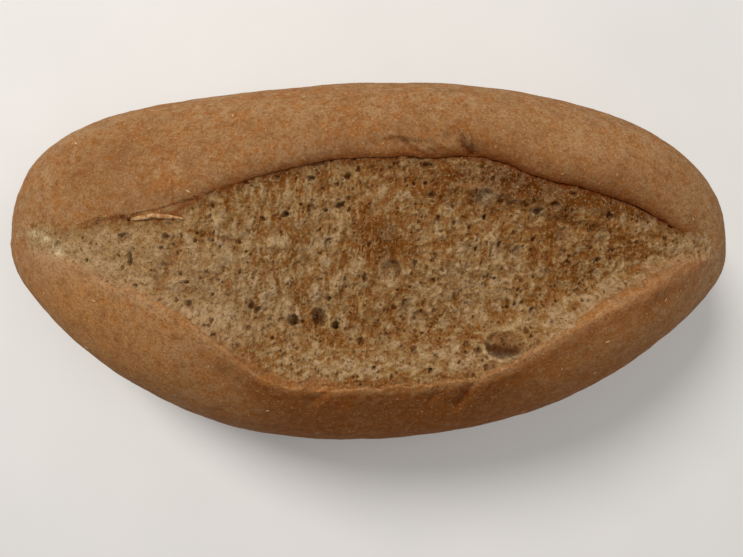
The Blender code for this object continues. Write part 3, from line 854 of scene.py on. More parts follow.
def crust_colouring(x, y, z, normal, behind, before):
    """How strongly each of the crust's colours shows at its points, by attribute."""
    upper = smoothstep(*UPPER_SIDE, z)
    burst = upper * opening(x)
    on_flap, on_lip = behind > -0.002, before > -0.001
    past_crease, past_lip = np.clip(behind, 0, None), np.clip(before, 0, None)
    right, left = smoothstep(*RIGHT_LIP, x), smoothstep(*LEFT_LIP, x)
    frayed = before + waves(x, 0.0, 0.0, LIP_FRAY) + waves(x, y, 0.0, LIP_FINE_FRAY)

    # red-brown skin along the crease, darkened as painted shade where the flap rolls down into it
    crease = np.maximum(np.exp(-past_crease / 0.0030), 0.40 * bell(behind, 0.013)) * on_flap
    crease = crease * ramp(0.15, 1.0, *CREASE_RED, x) * ramp(1.0, 0.6, *CREASE_END, x)
    edge = np.exp(-past_lip / ramp(0.0030, 0.0090, *RIGHT_LIP, x)) * on_lip
    edge = edge * (1 - 0.5 * right * (1 - smoothstep(-0.0002, 0.0018, before)))
    edge = edge * ramp(0.4, 1.0, *RIGHT_LIP, x) * smoothstep(*RED_LIP, x)
    # painted shadow: a dark line down in the crease, where the flap meets the crumb
    seam = bell(past_crease, 0.0008) * on_flap * between(CREASE_SHADOW_STRENGTH, along(x))
    # painted shade, partly a darker bake, just below the lip's crest, where the front turns away
    # from the light
    starts = ramp(0.0002, 0.0010, -0.006, 0.006, x) + 0.0006 * right
    lip_shade_and_bake = smoothstep(0.0, 1.0, (frayed - starts) / between(LIP_SHADE_WIDTH, along(x)))
    lip_shade_and_bake = lip_shade_and_bake * between(LIP_SHADE_AND_BAKE, along(x)) * (1 - smoothstep(0.004, 0.016, before))

    # dust lies on the sides, on the crest of the lip's two ends and on the flap's right
    rim = (1 - smoothstep(0.10, 0.55, normal[:, 2])) * smoothstep(0.010, 0.022, z)
    at_back, at_front = ramp(0.75, 0.45, 0.0, 0.4, along(x)), 0.12
    at_front = at_front - ramp(0.0, 0.30, -0.35, -0.15, along(x)) * (normal[:, 1] < 0)
    dust = rim * np.where(normal[:, 1] > 0, at_back, at_front)
    dust = np.maximum(dust, patches(x, y, PALE_PATCHES) * upper)
    crest = 1 - smoothstep(0.0003, 0.0022, frayed - 0.0009 * right)
    crest = crest * on_lip * burst
    dust = np.maximum(dust, crest * np.maximum(0.30 * right, 0.6 * left))
    flap = span(*DUSTY_FLAP, x) * smoothstep(0.004, 0.012, behind) * upper
    return {
        "crease": crease * burst,
        "edge": edge * burst,
        "seam": seam * burst,
        "lip_shade_and_bake": lip_shade_and_bake * burst,
        "gold": patches(x, y, GOLD_PATCHES) * upper,
        "dust": np.maximum(dust, 0.14 * flap),
        "browned": np.clip(patches(x, y, CRUST_PATCHES), 0, 1) * upper,
        "pale": np.minimum(ridging(x, y, PALE_LINES), 1.0) * upper,
        # the side that faces away from the lights: painted shade, partly a darker bake
        "front": smoothstep(0.30, 0.85, -normal[:, 1]) * between(FRONT_SHADE_AND_BAKE, along(x)),
    }


def make_crust(sizes):
    """The crust as a closed skin: sides, base, rolled flap and the crumb's bed."""
    x, y, z = crust_rings(sizes)
    tips = [
        (side * LENGTH / 2, float(plan_section(side * LENGTH / 2)[0]), TIP_HEIGHT)
        for side in (-1, 1)
    ]
    points = np.concatenate([np.stack([x, y, z], axis=-1).reshape(-1, 3), tips])
    piece = new_piece("crust", points.tolist(), closed_tube(x), crust_material())
    mesh = piece.data
    turn_outwards(mesh)
    normal = np.empty(len(points) * 3, np.float32)
    mesh.vertex_normals.foreach_get("vector", normal)
    normal = normal.reshape(-1, 3).astype(float)
    x, y, z = points.T
    lip, ear = torn_edges(x)
    behind, before = y - ear, lip - y
    bumps, folds = crust_relief(x, y, z, behind, before)
    place = points + normal * bumps[:, None]
    place[:, 2] = np.maximum(place[:, 2] + folds, 0.0)
    mesh.vertices.foreach_set("co", place.astype(np.float32).ravel())
    mesh.update()
    for name, values in crust_colouring(x, y, z, normal, behind, before).items():
        write_attribute(mesh, name, values)
    dress(piece)


def make_sliver():
    """A thin strip of crust that tore loose and lies along the left of the crease."""
    share = np.linspace(0, 1, SLIVER_RINGS)[:, None]
    x = SLIVER_START + (SLIVER_END - SLIVER_START) * share
    y = SLIVER_Y + SLIVER_BOW * np.sin(math.pi * share) + waves(x, 0, 0, SLIVER_WAVES)
    lip, ear = burst_edges(x)
    z = crumb_height(x, np.clip((y - lip) / (ear - lip), 0, 1)) + waves(x, y, 0.05, CRUST_WAVES)
    slim = np.sin(math.pi * (0.02 + 0.96 * share)) ** 0.6 * (1.2 - 0.6 * share)
    turn = math.tau * np.arange(SLIVER_SIDES) / SLIVER_SIDES
    grain = 1 + waves(x, turn, 0, SLIVER_GRAIN)
    points_y = y + SLIVER_WIDTH / 2 * slim * np.cos(turn) * grain
    points_z = z + SLIVER_HEIGHT * (0.45 + 0.55 * np.sin(turn)) * slim * grain
    points_x = np.broadcast_to(x, points_y.shape)
    ends = [(float(x[k, 0]), float(y[k, 0]), float(z[k, 0]) + SLIVER_LIFT) for k in (0, -1)]
    rows = np.stack([points_x, points_y, points_z], axis=-1).reshape(-1, 3)
    points = np.concatenate([rows, ends])
    piece = new_piece("sliver", points.tolist(), closed_tube(points_y), sliver_material())
    turn_outwards(piece.data)
    dress(piece)


# ---- the crumb ----------------------------------------------------------------------


def foam(x, y, spacing, seed, filled, deepness):
    """Depth and rims of a field of small pores, at most one to a square of this size."""
    draw = np.random.default_rng(seed)
    start_x, start_y = x.min(), y.min()
    column = np.floor((x - start_x) / spacing).astype(int)
    row = np.floor((y - start_y) / spacing).astype(int)
    chance = draw.random((6, column.max() + 3, row.max() + 3))
    depth, rim = np.zeros(x.shape), np.zeros(x.shape)
    for step in range(9):
        i, j = column + step % 3, row + step // 3
        off_x = x - start_x - (i - 1 + chance[0, i, j]) * spacing
        off_y = y - start_y - (j - 1 + chance[1, i, j]) * spacing
        radius = spacing * (0.20 + 0.40 * chance[2, i, j] ** 1.5)
        turn = math.pi / 2 + 1.4 * (chance[3, i, j] - 0.5)
        flat = 0.55 + 0.45 * chance[4, i, j]
        u = (off_x * np.cos(turn) + off_y * np.sin(turn)) / radius
        v = (off_y * np.cos(turn) - off_x * np.sin(turn)) / (radius * flat)
        away = np.hypot(u, v)
        there = chance[5, i, j] < filled
        deep = deepness * radius * (0.6 + 1.2 * chance[2, i, j] ** 3)
        depth = np.maximum(depth, deep * np.sqrt(np.clip(1 - away**2, 0, None)) * there)
        rim = np.maximum(rim, bell(away - 1.2, 0.2) * there)
    return depth, rim * (depth == 0)


def sink_pores(at, pores):
    """Depth of the deepest of these pores over each point, its painted shade, pale floor and
    pale rim, which is partly painted light on the lit lip."""
    shape = at.x.shape
    depth, dark, floor, rim = (np.zeros(shape) for _ in range(4))
    for x, y, length, width, deep, turn, lean in pores:
        reach = 0.75 * length + 0.0005
        i0, i1 = np.searchsorted(at.x_axis, (x - reach, x + reach))
        j0, j1 = np.searchsorted(at.y_axis, (y - reach, y + reach))
        window = (slice(i0, i1), slice(j0, j1))
        off_x, off_y = at.warped_x[window] - x, at.warped_y[window] - y
        cosine, sine = math.cos(math.radians(turn)), math.sin(math.radians(turn))
        u = (off_x * cosine + off_y * sine) / (length / 2)
        v = (off_y * cosine - off_x * sine) / (width / 2)
        away = np.hypot(u, v)
        # a pore goes down slanting, so it is deepest on the side it leans to; painted shade
        # darkens that side
        aside = off_x * math.cos(math.radians(lean)) + off_y * math.sin(math.radians(lean))
        aside = aside / (0.5 * width)
        large = width > LARGE_PORE
        slant = 1 + 0.55 * np.clip(aside, -1.0, 1.0)
        if large:
            slant = (0.5 + 0.5 * np.clip(aside, -1.0, 1.0)) ** 0.9
        bowl = np.clip(1 - away**2, 0.0, None) ** 0.5
        depth[window] = np.maximum(depth[window], deep * bowl * slant)
        strength = min(1.1 * deep / width + 0.0004 / width + 0.35 * large, 1.0)
        least = 0.04 + 0.6 * np.clip((0.0026 - width) / 0.0010, 0.0, 1.0)
        begins, ends = (0.0, 0.1) if large else (-0.15, 0.0)
        ends = ends + ramp(0.7, 0.3, 0.003, 0.006, width)
        shade = ramp(least, 1.0, begins, ends, aside)
        inside = smoothstep(0.1, 0.8, bowl)
        # a shallow one shows no more than the arc of shade under its edge
        arc = bell(away - 0.84, 0.15) * smoothstep(-0.3, 0.5, aside)
        arc = arc * smoothstep(0.40, 0.25, deep / width) * 0.95
        dark[window] = np.maximum(dark[window], np.maximum(inside * shade * strength, arc))
        lit = 0.7 if lean < 200 else 0.4
        floor[window] = np.maximum(floor[window], inside * (1 - shade * strength) * lit)
        # a pale rim on the side away from the shade: partly pale cell walls, partly painted light
        # on the lit lip
        ring = bell(away - 1.14, 0.18) * smoothstep(0.6, -0.8, aside)
        rim[window] = np.maximum(rim[window], ring)
    return depth, dark, floor, rim * (dark < 0.05)


def crumb_places(cell):
    """The crumb's grid, and where each of its points lies in the tear and how it tore."""
    x_axis, y_axis = (
        np.arange(start, end, cell) for start, end in zip(CRUMB_CORNER, CRUMB_FAR_CORNER)
    )
    x, y = np.meshgrid(x_axis, y_axis, indexing="ij")
    lip, ear = torn_edges(x_axis[:, None])
    left, right = (end * LENGTH / 2 for end in BURST_ENDS)
    share = np.clip((y - lip) / np.maximum(ear - lip, LEAST_GAP), 0.0, 1.0)
    middle, width = STREAKS
    return SimpleNamespace(
        x_axis=x_axis,
        y_axis=y_axis,
        x=x,
        y=y,
        lip=lip,
        from_lip=y - lip,
        from_ear=ear - y,
        past_end=np.maximum(left - x, x - right),
        share=share,
        soft=softness(x),
        calm=smoothstep(0.22, 0.52, noise(x, y, 0.0, 0.0036, 18)),
        streaky=bell(x - middle, width) * smoothstep(0.0, 0.2, share),
        bend=0.0014 * noise(x, y, 0.0, 0.012, 56),
        warped_x=x + waves(x, y, 0.0, WARP_X),
        warped_y=y + waves(x, y, 0.0, WARP_Y),
    )


def crumb_form(at):
    """Height of the crumb without its relief, and how far it dives under the crust."""
    height = crumb_height(at.x, at.share) + ridging(at.x, at.y, RIDGES)
    beyond = dome_height(at.x, at.y) - dome_height(at.x, at.lip)
    height = height + np.where(at.from_lip < 0, beyond, 0.0)
    height = height + waves(at.x, at.y, height, CRUST_WAVES) + patches(at.x, at.y, LEDGE_EASE)
    height = height + CREASE_RISE * smoothstep(0.004, 0.0, at.from_ear) * opening(at.x)
    dive = through(TUCK_SLOPE, along(at.x)) * np.clip(-at.from_lip, 0, None)
    dive = dive + END_SLOPE * np.clip(at.past_end, 0, None)
    return height, dive + CREASE_SLOPE * np.clip(-at.from_ear, 0, None)


def strewn_pores(at):
    """Depth, rims and the painted shade inside the fields of small pores."""
    crowd = 0.85 + 0.9 * noise(at.x, at.y, 0.0, 0.0075, 17) + 0.25 * at.soft
    crowd = crowd * ramp(0.20, 1.0, -0.064, -0.026, at.x)
    crowd = crowd + 0.5 * (1 - smoothstep(*FRONT_SHARE, at.share))
    sunk, rim, holes = (np.zeros(at.x.shape) for _ in range(3))
    for spacing, seed, filled, deepness, rims in FOAMS:
        filled = filled * crowd * (1 - 0.6 * at.calm)
        bowl, ring = foam(at.warped_x, at.warped_y, spacing, seed, filled, deepness)
        sunk = np.maximum(sunk, bowl)
        rim = np.maximum(rim, ring * rims)
        if spacing < DARK_SPACING:
            holes = np.maximum(holes, bowl)
    return sunk, rim, np.clip((holes - 0.00022) / 0.00025, 0.0, 1.0)


def torn_tufts(at):
    """Tufts with sharp creases between them, 0 to 1: drawn out where the crumb tore in
    streaks, and level at its front edge."""
    tufts = np.zeros(at.x.shape)
    flat = (1 - smoothstep(*FRONT_SHARE, at.share)) * smoothstep(-0.040, -0.024, at.x)
    for size, weight, seed in TUFTS:
        even = noise(at.warped_x, at.warped_y * 0.78, 0.0, size, seed)
        drawn = noise(at.warped_x + at.bend, at.warped_y * 0.36, 0.0, size * 0.85, seed + 1)
        level = noise(at.warped_x * 0.5, at.warped_y * 1.15, 0.0, size, seed + 2)
        mixed = even + (drawn - even) * at.streaky
        mixed = mixed + (level - mixed) * flat
        smooth = 0.5 + 0.5 * np.clip(mixed / 0.60, -1.0, 1.0)
        sharp = np.minimum(np.abs(mixed) / 0.45, 1.0)
        tufts = tufts + weight * (smooth + (sharp - smooth) * SHARP_TUFTS)
    return tufts


def torn_strands(at):
    """Thin pale strands, most of them where the crumb tore in streaks."""
    strands = np.abs(noise(at.x + at.bend, at.y * 0.14, 0.0, 0.0016, 63))
    strands = (1 - smoothstep(0.02, 0.12, strands)) * (0.1 + 0.9 * at.streaky)
    return strands * smoothstep(-0.1, 0.25, noise(at.x, at.y, 0.0, 0.0045, 69))


def toasting(at, tufts, grain, in_cup):
    """How brown the crumb toasted, 0 to 1: most at its borders, and between its tufts, where
    part of the brown is painted shade in their creases.
    """
    x = at.x
    toast = waves(x + at.bend, at.y * (1 - 0.62 * at.streaky), 0, TOASTING)
    # browner in the creases between the tufts: partly toasting, partly painted shade
    toast = toast - 1.30 * (tufts - 0.5) - 0.15 * grain - 0.12 * at.calm
    toast = 0.46 + ramp(0.28, 1.0, *QUIET_LEFT, x) * toast - 0.12 * in_cup
    toast = toast + patches(x, at.y, TOAST_PATCHES) + ridging(x, at.y, RED_LINES)
    middle = span(*TOASTED_BORDER, x)
    border = bell(np.clip(at.from_lip - 0.0010, 0, None), 0.0026)
    near_lip = bell(np.clip(at.from_lip, 0, None), 0.0065)
    near_crease = bell(np.clip(at.from_ear, 0, None), 0.0030)
    toast = toast + 0.45 * middle * border
    toast = toast - near_lip * (0.35 * smoothstep(0.046, 0.058, x) + 0.20 * (x < -0.046))
    toast = toast + near_crease * (1 - middle * 0.5) * ramp(0.22, -0.12, 0.012, 0.028, x)
    return np.clip(0.5 + 0.46 * np.tanh((toast - 0.5) / 0.46), 0, 1)


def baked_skin(at):
    """Where baked skin covers the crumb: all of it, its dusty part at the tear's two ends,
    and the part over the left of the lip, where the tear ran out."""
    x = at.x
    frayed = at.from_lip + waves(x, at.y, 0.0, SKIN_FRAY)
    wide = (1 - smoothstep(-0.3, 1.0, frayed / ramp(0.0052, 0.0067, 0.0, 0.05, x))) * at.soft
    thin = 0.7 * at.from_lip + 0.3 * frayed
    thin = 1 - smoothstep(-0.0004, 0.0014, thin)
    over = span(*BAKED_SKIN, x) * (1 - smoothstep(0.3, 1.0, frayed / 0.0044))
    dusty = wide * (0.8 * smoothstep(0.03, 0.06, x) + 0.6 * (x < -0.046))
    return np.maximum(np.maximum(wide, thin), 0.9 * over), dusty, over


def crease_shade(at):
    """The flap's shade on the crumb below the crease."""
    ragged = at.from_ear + 0.0006 * noise(at.x, at.y, 0.0, 0.0025, 68)
    reach = ramp(0.0042, 0.0062, 0.040, 0.070, at.x)
    shade = 1 - smoothstep(0.0, 1.0, ragged / reach)
    return shade * between(CREASE_SHADE, along(at.x)) * opening(at.x)


def crumb_fields(sizes):
    """The crumb's grid: its places, heights, where it is used, and what colours it."""
    at = crumb_places(sizes.crumb_cell)
    x, y = at.x, at.y
    height, dive = crumb_form(at)
    sunk, rim, holes = strewn_pores(at)
    cups, cup_rim = foam(at.warped_x, at.warped_y, *CUPS)
    in_cup = np.clip(cups / CUP_DEPTH, 0, 1)
    small = [(at_x, at_y, w * 0.95, w * 0.82, w * 0.9, 80, 90) for at_x, at_y, w in DARK_PORES]
    pores = [row + (lean,) for row, lean in zip(PORES, PORE_LEANS)] + small + list(HOLLOWS)
    big, dark, floor, big_rim = sink_pores(at, pores)
    dark = dark * ramp(0.60, 1.0, -0.062, -0.034, x)
    tufts = torn_tufts(at)
    grain = noise(x, y, 0.0, 0.0008, 55)

    inside = np.minimum(np.minimum(at.from_lip, at.from_ear), -at.past_end)
    vigour = 1 - 0.3 * smoothstep(0.036, 0.056, x) - 0.3 * smoothstep(-0.050, -0.064, x)
    rough = vigour * (sizes.tuft_height * (tufts - 0.5) + 0.00020 * grain)
    rough = rough * (1 - 0.45 * at.calm) * (1 - 0.6 * np.clip(big / 0.0012, 0.0, 1.0))
    relief = rough + 0.00015 * np.maximum(rim, big_rim)
    height = height + relief * ramp(0.35, 1.0, -0.0005, 0.0040, inside) - dive
    height = height - np.maximum(sunk * 0.9, big) - cups
    height = np.maximum(height, sizes.crumb_root + 0.001)

    skin, dusty, over_lip = baked_skin(at)
    # nearly white crumb where it tore last, and painted light caught in two pores
    fresh_and_lit = np.clip(patches(x, y, WHITE_PATCHES), 0, 1)
    khaki = np.maximum(at.calm * 0.55, in_cup * 0.45) * ramp(0.3, 1.0, -0.062, -0.045, x)
    films = patches(x, y, GREY_PATCHES) * (1 - tufts * 0.5)
    pale = (
        rim * 0.5,
        cup_rim * 0.20,
        big_rim * 0.70,
        0.9 * torn_strands(at),
        0.35 * dusty,
        ridging(x, y, PALE_LINES),
        0.6 * patches(x, y, PALE_PATCHES),
    )
    shades = (crease_shade(at), ridging(x, y, SHADE_LINES), patches(x, y, SHADE_PATCHES))
    # painted shadow: the dark line down in the crease
    seam = bell(np.clip(at.from_ear, 0, None), 0.0010) * between(CREASE_SHADOW_STRENGTH, along(x))
    fields = {
        "dust": np.maximum(dusty, patches(x, y, PINK_PATCHES)),
        "toast": toasting(at, tufts, grain, in_cup),
        # painted shade inside the pores
        "pore_shade": np.maximum(holes * 0.8 * (1 - skin * 0.6), dark) * (1 - 0.7 * fresh_and_lit),
        "grey": np.maximum(np.maximum(khaki, floor), films),
        "white": fresh_and_lit,
        "pale": np.maximum.reduce(pale),
        "skin": skin,
        "crease": 0.7 * over_lip,
        "edge": np.exp(-np.abs(at.from_lip) / 0.0030),
        "seam": seam * opening(x),
        "shade": np.maximum.reduce(shades),
    }
    return at, height, dive < HIDDEN_DEPTH, fields


def make_crumb(sizes):
    """The torn crumb as a fine skin over a plain block that stays in the crust."""
    at, height, used, fields = crumb_fields(sizes)
    full = used[:-1, :-1] & used[1:, :-1] & used[:-1, 1:] & used[1:, 1:]
    i, j = np.argwhere(full).T
    corner = np.zeros(used.shape, bool)
    for step_x in (0, 1):
        for step_y in (0, 1):
            corner[i + step_x, j + step_y] = True
    index = np.full(used.shape, -1)
    index[corner] = np.arange(corner.sum())
    quads = np.stack(
        [index[i, j], index[i + 1, j], index[i + 1, j + 1], index[i, j + 1]], axis=1
    )
    top = np.stack([at.x[corner], at.y[corner], height[corner]], axis=1)
    edges = np.stack([quads, np.roll(quads, -1, axis=1)], axis=-1).reshape(-1, 2)
    known = set(map(tuple, edges.tolist()))
    after = {a: b for a, b in known if (b, a) not in known}
    loop = [min(after)]
    while after[loop[-1]] != loop[0]:
        loop.append(after[loop[-1]])
    if len(loop) != len(after):
        raise RuntimeError("the crumb's edge isn't one loop")
    root = top[loop].copy()
    root[:, 2] = sizes.crumb_root
    below = (len(top) + np.arange(len(loop))).tolist()
    skirt = zip(np.roll(loop, -1).tolist(), loop, below, below[1:] + below[:1])
    faces = quads.tolist() + [list(face) for face in skirt] + [below[::-1]]
    points = np.concatenate([top, root]).tolist()
    piece = new_piece("crumb", points, faces, crumb_material())
    for name, values in fields.items():
        padded = np.zeros(len(points))
        padded[: len(top)] = values[corner]
        write_attribute(piece.data, name, padded)
    dress(piece)


# ---- small things that repeat ---------------------------------------------------------


def open_tree(name, inputs):
    """A geometry tree with these inputs besides its geometry, and its two end nodes."""
    tree = bpy.data.node_groups.new(name, "GeometryNodeTree")
    tree.interface.new_socket("Carrier", in_out="INPUT", socket_type="NodeSocketGeometry")
    for label, kind, value in inputs:
        socket = tree.interface.new_socket(label, in_out="INPUT", socket_type=kind)
        socket.default_value = value
    tree.interface.new_socket("Pieces", in_out="OUTPUT", socket_type="NodeSocketGeometry")
    return tree, add(tree, "NodeGroupInput").outputs


def close_tree(tree, instances, material):
    """Ends a tree: its instances become mesh of this material."""
    real = add(tree, "GeometryNodeRealizeInstances", {0: instances}).outputs[0]
    coated = add(tree, "GeometryNodeSetMaterial", {"Geometry": real, "Material": material})
    add(tree, "NodeGroupOutput", {0: coated.outputs[0]})
    return tree


def strew(tree, given, per_area):
    """Points over the carrier, as many as this input and the attribute cover ask for, and
    a number from 0 to 1 for each."""
    cover = add(tree, "GeometryNodeInputNamedAttribute", {"Name": "cover"}, data_type="FLOAT")
    crowd = add(
        tree, "ShaderNodeMath", {0: cover.outputs[0], 1: given[per_area]}, operation="MULTIPLY"
    )
    spots = add(
        tree,
        "GeometryNodeDistributePointsOnFaces",
        {"Mesh": given["Carrier"], "Density": crowd.outputs[0], "Seed": given["Seed"]},
    )
    chance = add(tree, "FunctionNodeRandomValue", {"Min": 0.0, "Max": 1.0, "Seed": given["Seed"]})
    return spots.outputs, chance.outputs["Value"]


def grow(tree, carrier, cover, name, values):
    """Runs a tree over a carrier's mesh, thinned out by cover, and keeps what it grows as
    one plain piece."""
    grower = bpy.data.objects.new(name, carrier.data.copy())
    write_attribute(grower.data, "cover", cover)
    modifier = grower.modifiers.new(name, "NODES")
    modifier.node_group = tree
    for socket in tree.interface.items_tree:
        if socket.in_out == "INPUT" and socket.name in values:
            modifier[socket.identifier] = values[socket.name]
    bpy.context.scene.collection.objects.link(grower)
    graph = bpy.context.evaluated_depsgraph_get()
    grown = bpy.data.meshes.new_from_object(grower.evaluated_get(graph))
    grower.modifiers.remove(modifier)
    if not grown.polygons:
        raise RuntimeError(f"{name} grew nothing")
    grower.data = grown
    dress(grower)


def bran_tree(material):
    """Flakes strewn over the crust, lying flat in it."""
    tree, given = open_tree(
        "bran",
        (
            ("Flakes per square metre", "NodeSocketFloat", 30000.0),
            ("Least size", "NodeSocketFloat", 0.0003),
            ("Largest size", "NodeSocketFloat", 0.0008),
            ("Seed", "NodeSocketInt", 5),
        ),
    )
    spots, chance = strew(tree, given, "Flakes per square metre")
    # raised to a power, so that most flakes are small
    rare = add(tree, "ShaderNodeMath", {0: chance, 1: 3.2}, operation="POWER").outputs[0]
    length = add(
        tree,
        "ShaderNodeMapRange",
        {"Value": rare, "To Min": given["Least size"], "To Max": given["Largest size"]},
    ).outputs[0]
    flat = add(
        tree,
        "ShaderNodeVectorMath",
        {0: (0.6, 0.19, 0.10), "Scale": length},
        operation="SCALE",
    )
    spin = add(
        tree,
        "FunctionNodeRandomValue",
        {0: (-0.25, -0.25, 0.0), 1: (0.25, 0.25, math.tau), "Seed": 3},
        data_type="FLOAT_VECTOR",
    )
    turned = add(
        tree,
        "FunctionNodeRotateRotation",
        {"Rotation": spots["Rotation"], "Rotate By": spin.outputs[0]},
        rotation_space="LOCAL",
    )
    flake = add(tree, "GeometryNodeMeshIcoSphere", {"Radius": 1.0, "Subdivisions": 1})
    placed = add(
        tree,
        "GeometryNodeInstanceOnPoints",
        {
            "Points": spots["Points"],
            "Instance": flake.outputs["Mesh"],
            "Rotation": turned.outputs[0],
            "Scale": flat.outputs[0],
        },
    )
    return close_tree(tree, placed.outputs[0], material)


def thread_tree(material):
    """Short arched threads standing over the crumb, mostly along its streaks."""
    tree, given = open_tree(
        "threads",
        (
            ("Threads per square metre", "NodeSocketFloat", 60000.0),
            ("Least length", "NodeSocketFloat", 0.0010),
            ("Largest length", "NodeSocketFloat", 0.0030),
            ("Thickness", "NodeSocketFloat", 0.00016),
            ("Seed", "NodeSocketInt", 9),
        ),
    )
    spots, chance = strew(tree, given, "Threads per square metre")
    length = add(
        tree,
        "ShaderNodeMapRange",
        {"Value": chance, "To Min": given["Least length"], "To Max": given["Largest length"]},
    ).outputs[0]
    spin = add(
        tree,
        "FunctionNodeRandomValue",
        {0: (-0.2, -0.2, 0.7), 1: (0.2, 0.2, 2.4), "Seed": 3},
        data_type="FLOAT_VECTOR",
    )
    arch = add(
        tree,
        "GeometryNodeCurveQuadraticBezier",
        {
            "Resolution": 6,
            "Start": (-0.5, 0.0, -0.10),
            "Middle": (0.0, 0.16, 0.20),
            "End": (0.5, 0.0, -0.10),
        },
    )
    placed = add(
        tree,
        "GeometryNodeInstanceOnPoints",
        {
            "Points": spots["Points"],
            "Instance": arch.outputs[0],
            "Rotation": spin.outputs[0],
            "Scale": length,
        },
    )
    lines = add(tree, "GeometryNodeRealizeInstances", {0: placed.outputs[0]})
    ring = add(
        tree,
        "GeometryNodeCurvePrimitiveCircle",
        {"Resolution": 5, "Radius": given["Thickness"]},
    )
    threads = add(
        tree,
        "GeometryNodeCurveToMesh",
        {"Curve": lines.outputs[0], "Profile Curve": ring.outputs[0], "Fill Caps": True},
    )
    return close_tree(tree, threads.outputs[0], material)


def vertex_places(piece):
    """The x, y and z of a piece's vertices."""
    places = np.empty(len(piece.data.vertices) * 3, np.float32)
    piece.data.vertices.foreach_get("co", places)
    return places.reshape(-1, 3).T.astype(float)


def make_bran(sizes):
    """Flakes of bran over the crust's upper side."""
    crust = bpy.data.objects["crust"]
    x, y, z = vertex_places(crust)
    lip, ear = torn_edges(x)
    skin = (y > ear + 0.0006) | (y < lip - 0.0008) | (opening(x) < 0.5)
    crowd = 0.15 + 1.2 * smoothstep(-0.1, 0.6, noise(x, y, z, 0.012, 91))
    cover = smoothstep(0.030, 0.055, z) * skin * crowd
    values = {
        "Flakes per square metre": sizes.bran_per_area,
        "Least size": sizes.bran_least,
        "Largest size": sizes.bran_largest,
    }
    grow(bran_tree(bran_material()), crust, cover, "bran", values)


def make_threads(sizes):
    """Threads of gluten over the crumb's pores."""
    crumb = bpy.data.objects["crumb"]
    x, y, z = vertex_places(crumb)
    lip, ear = torn_edges(x)
    inner = smoothstep(0.001, 0.004, np.minimum(y - lip, ear - y))
    inner = inner * (z > sizes.crumb_root + 0.002)
    cover = inner * (0.3 + smoothstep(0.0, 0.5, noise(x, y, 0.0, 0.006, 92)))
    values = {
        "Threads per square metre": sizes.threads_per_area,
        "Least length": sizes.thread_least,
        "Largest length": sizes.thread_largest,
        "Thickness": sizes.thread_width / 2,
    }
    grow(thread_tree(thread_material()), crumb, cover, "threads", values)


# ---- materials -------------------------------------------------------------------------


def linear(code):
    """An sRGB hex colour as linear red, green, blue and alpha."""
    channels = [int(code[k : k + 2], 16) / 255 for k in (1, 3, 5)]
    return [
        c / 12.92 if c <= 0.04045 else ((c + 0.055) / 1.055) ** 2.4 for c in channels
    ] + [1.0]


def add(tree, kind, inputs=None, **settings):
    """Adds a node with its settings; inputs maps a socket to a value or to a socket."""
    node = tree.nodes.new(kind)
    for name, value in settings.items():
        setattr(node, name, value)
    for key, value in (inputs or {}).items():
        if isinstance(value, bpy.types.NodeSocket):
            tree.links.new(value, node.inputs[key])
        else:
            node.inputs[key].default_value = value
    return node


def blank_material(name):
    """An empty material, its node tree and the place on the object to read patterns by."""
    material = bpy.data.materials.new(name)
    material.use_nodes = True
    tree = material.node_tree
    tree.nodes.clear()
    return material, tree, add(tree, "ShaderNodeTexCoord").outputs["Object"]


def tint(tree, place, colour, layers):
    """Lays patches over a colour, one for each layer: a size in millimetres, detail, the
    pattern's values where the patch begins and is full, its strength and its colour."""
    for size, detail, begin, full, strength, paint in layers:
        pattern = add(
            tree,
            "ShaderNodeTexNoise",
            {"Vector": place, "Scale": 1000 / size, "Detail": detail, "Roughness": 0.6},
        )
        amount = add(
            tree,
            "ShaderNodeMapRange",
            {"Value": pattern.outputs["Fac"], 1: begin, 2: full, 3: 0.0, 4: strength},
        )
        mixed = add(
            tree,
            "ShaderNodeMix",
            {0: amount.outputs[0], 6: colour, 7: list(paint)},
            data_type="RGBA",
        )
        colour = mixed.outputs[2]
    return colour


def stain(tree, place, colour, layers):
    """Lays colours over a colour by the mesh's attributes: name, strength, size of the
    stain's mottling in millimetres, how uneven that makes it, and colour."""
    for name, strength, size, uneven, paint in layers:
        reading = add(tree, "ShaderNodeAttribute", attribute_name=name)
        pattern = add(
            tree,
            "ShaderNodeTexNoise",
            {"Vector": place, "Scale": 1000 / size, "Detail": 3.0, "Roughness": 0.65},
        )
        least, most = strength * (1 - uneven), strength * (1 + uneven)
        reach = add(
            tree,
            "ShaderNodeMapRange",
            {"Value": pattern.outputs["Fac"], 1: 0.36, 2: 0.64, 3: least, 4: most},
        )
        amount = add(
            tree,
            "ShaderNodeMath",
            {0: reading.outputs["Fac"], 1: reach.outputs[0]},
            operation="MULTIPLY",
            use_clamp=True,
        )
        mixed = add(
            tree,
            "ShaderNodeMix",
            {0: amount.outputs[0], 6: colour, 7: list(paint)},
            data_type="RGBA",
        )
        colour = mixed.outputs[2]
    return colour


def roughen(tree, place, layers):
    """Bump for each layer: a size in millimetres, detail, height in millimetres."""
    normal = None
    for size, detail, rise in layers:
        pattern = add(
            tree,
            "ShaderNodeTexNoise",
            {"Vector": place, "Scale": 1000 / size, "Detail": detail, "Roughness": 0.6},
        )
        given = {"Height": pattern.outputs["Fac"], "Distance": rise * MILLIMETRE}
        if normal:
            given["Normal"] = normal
        normal = add(tree, "ShaderNodeBump", given).outputs[0]
    return normal


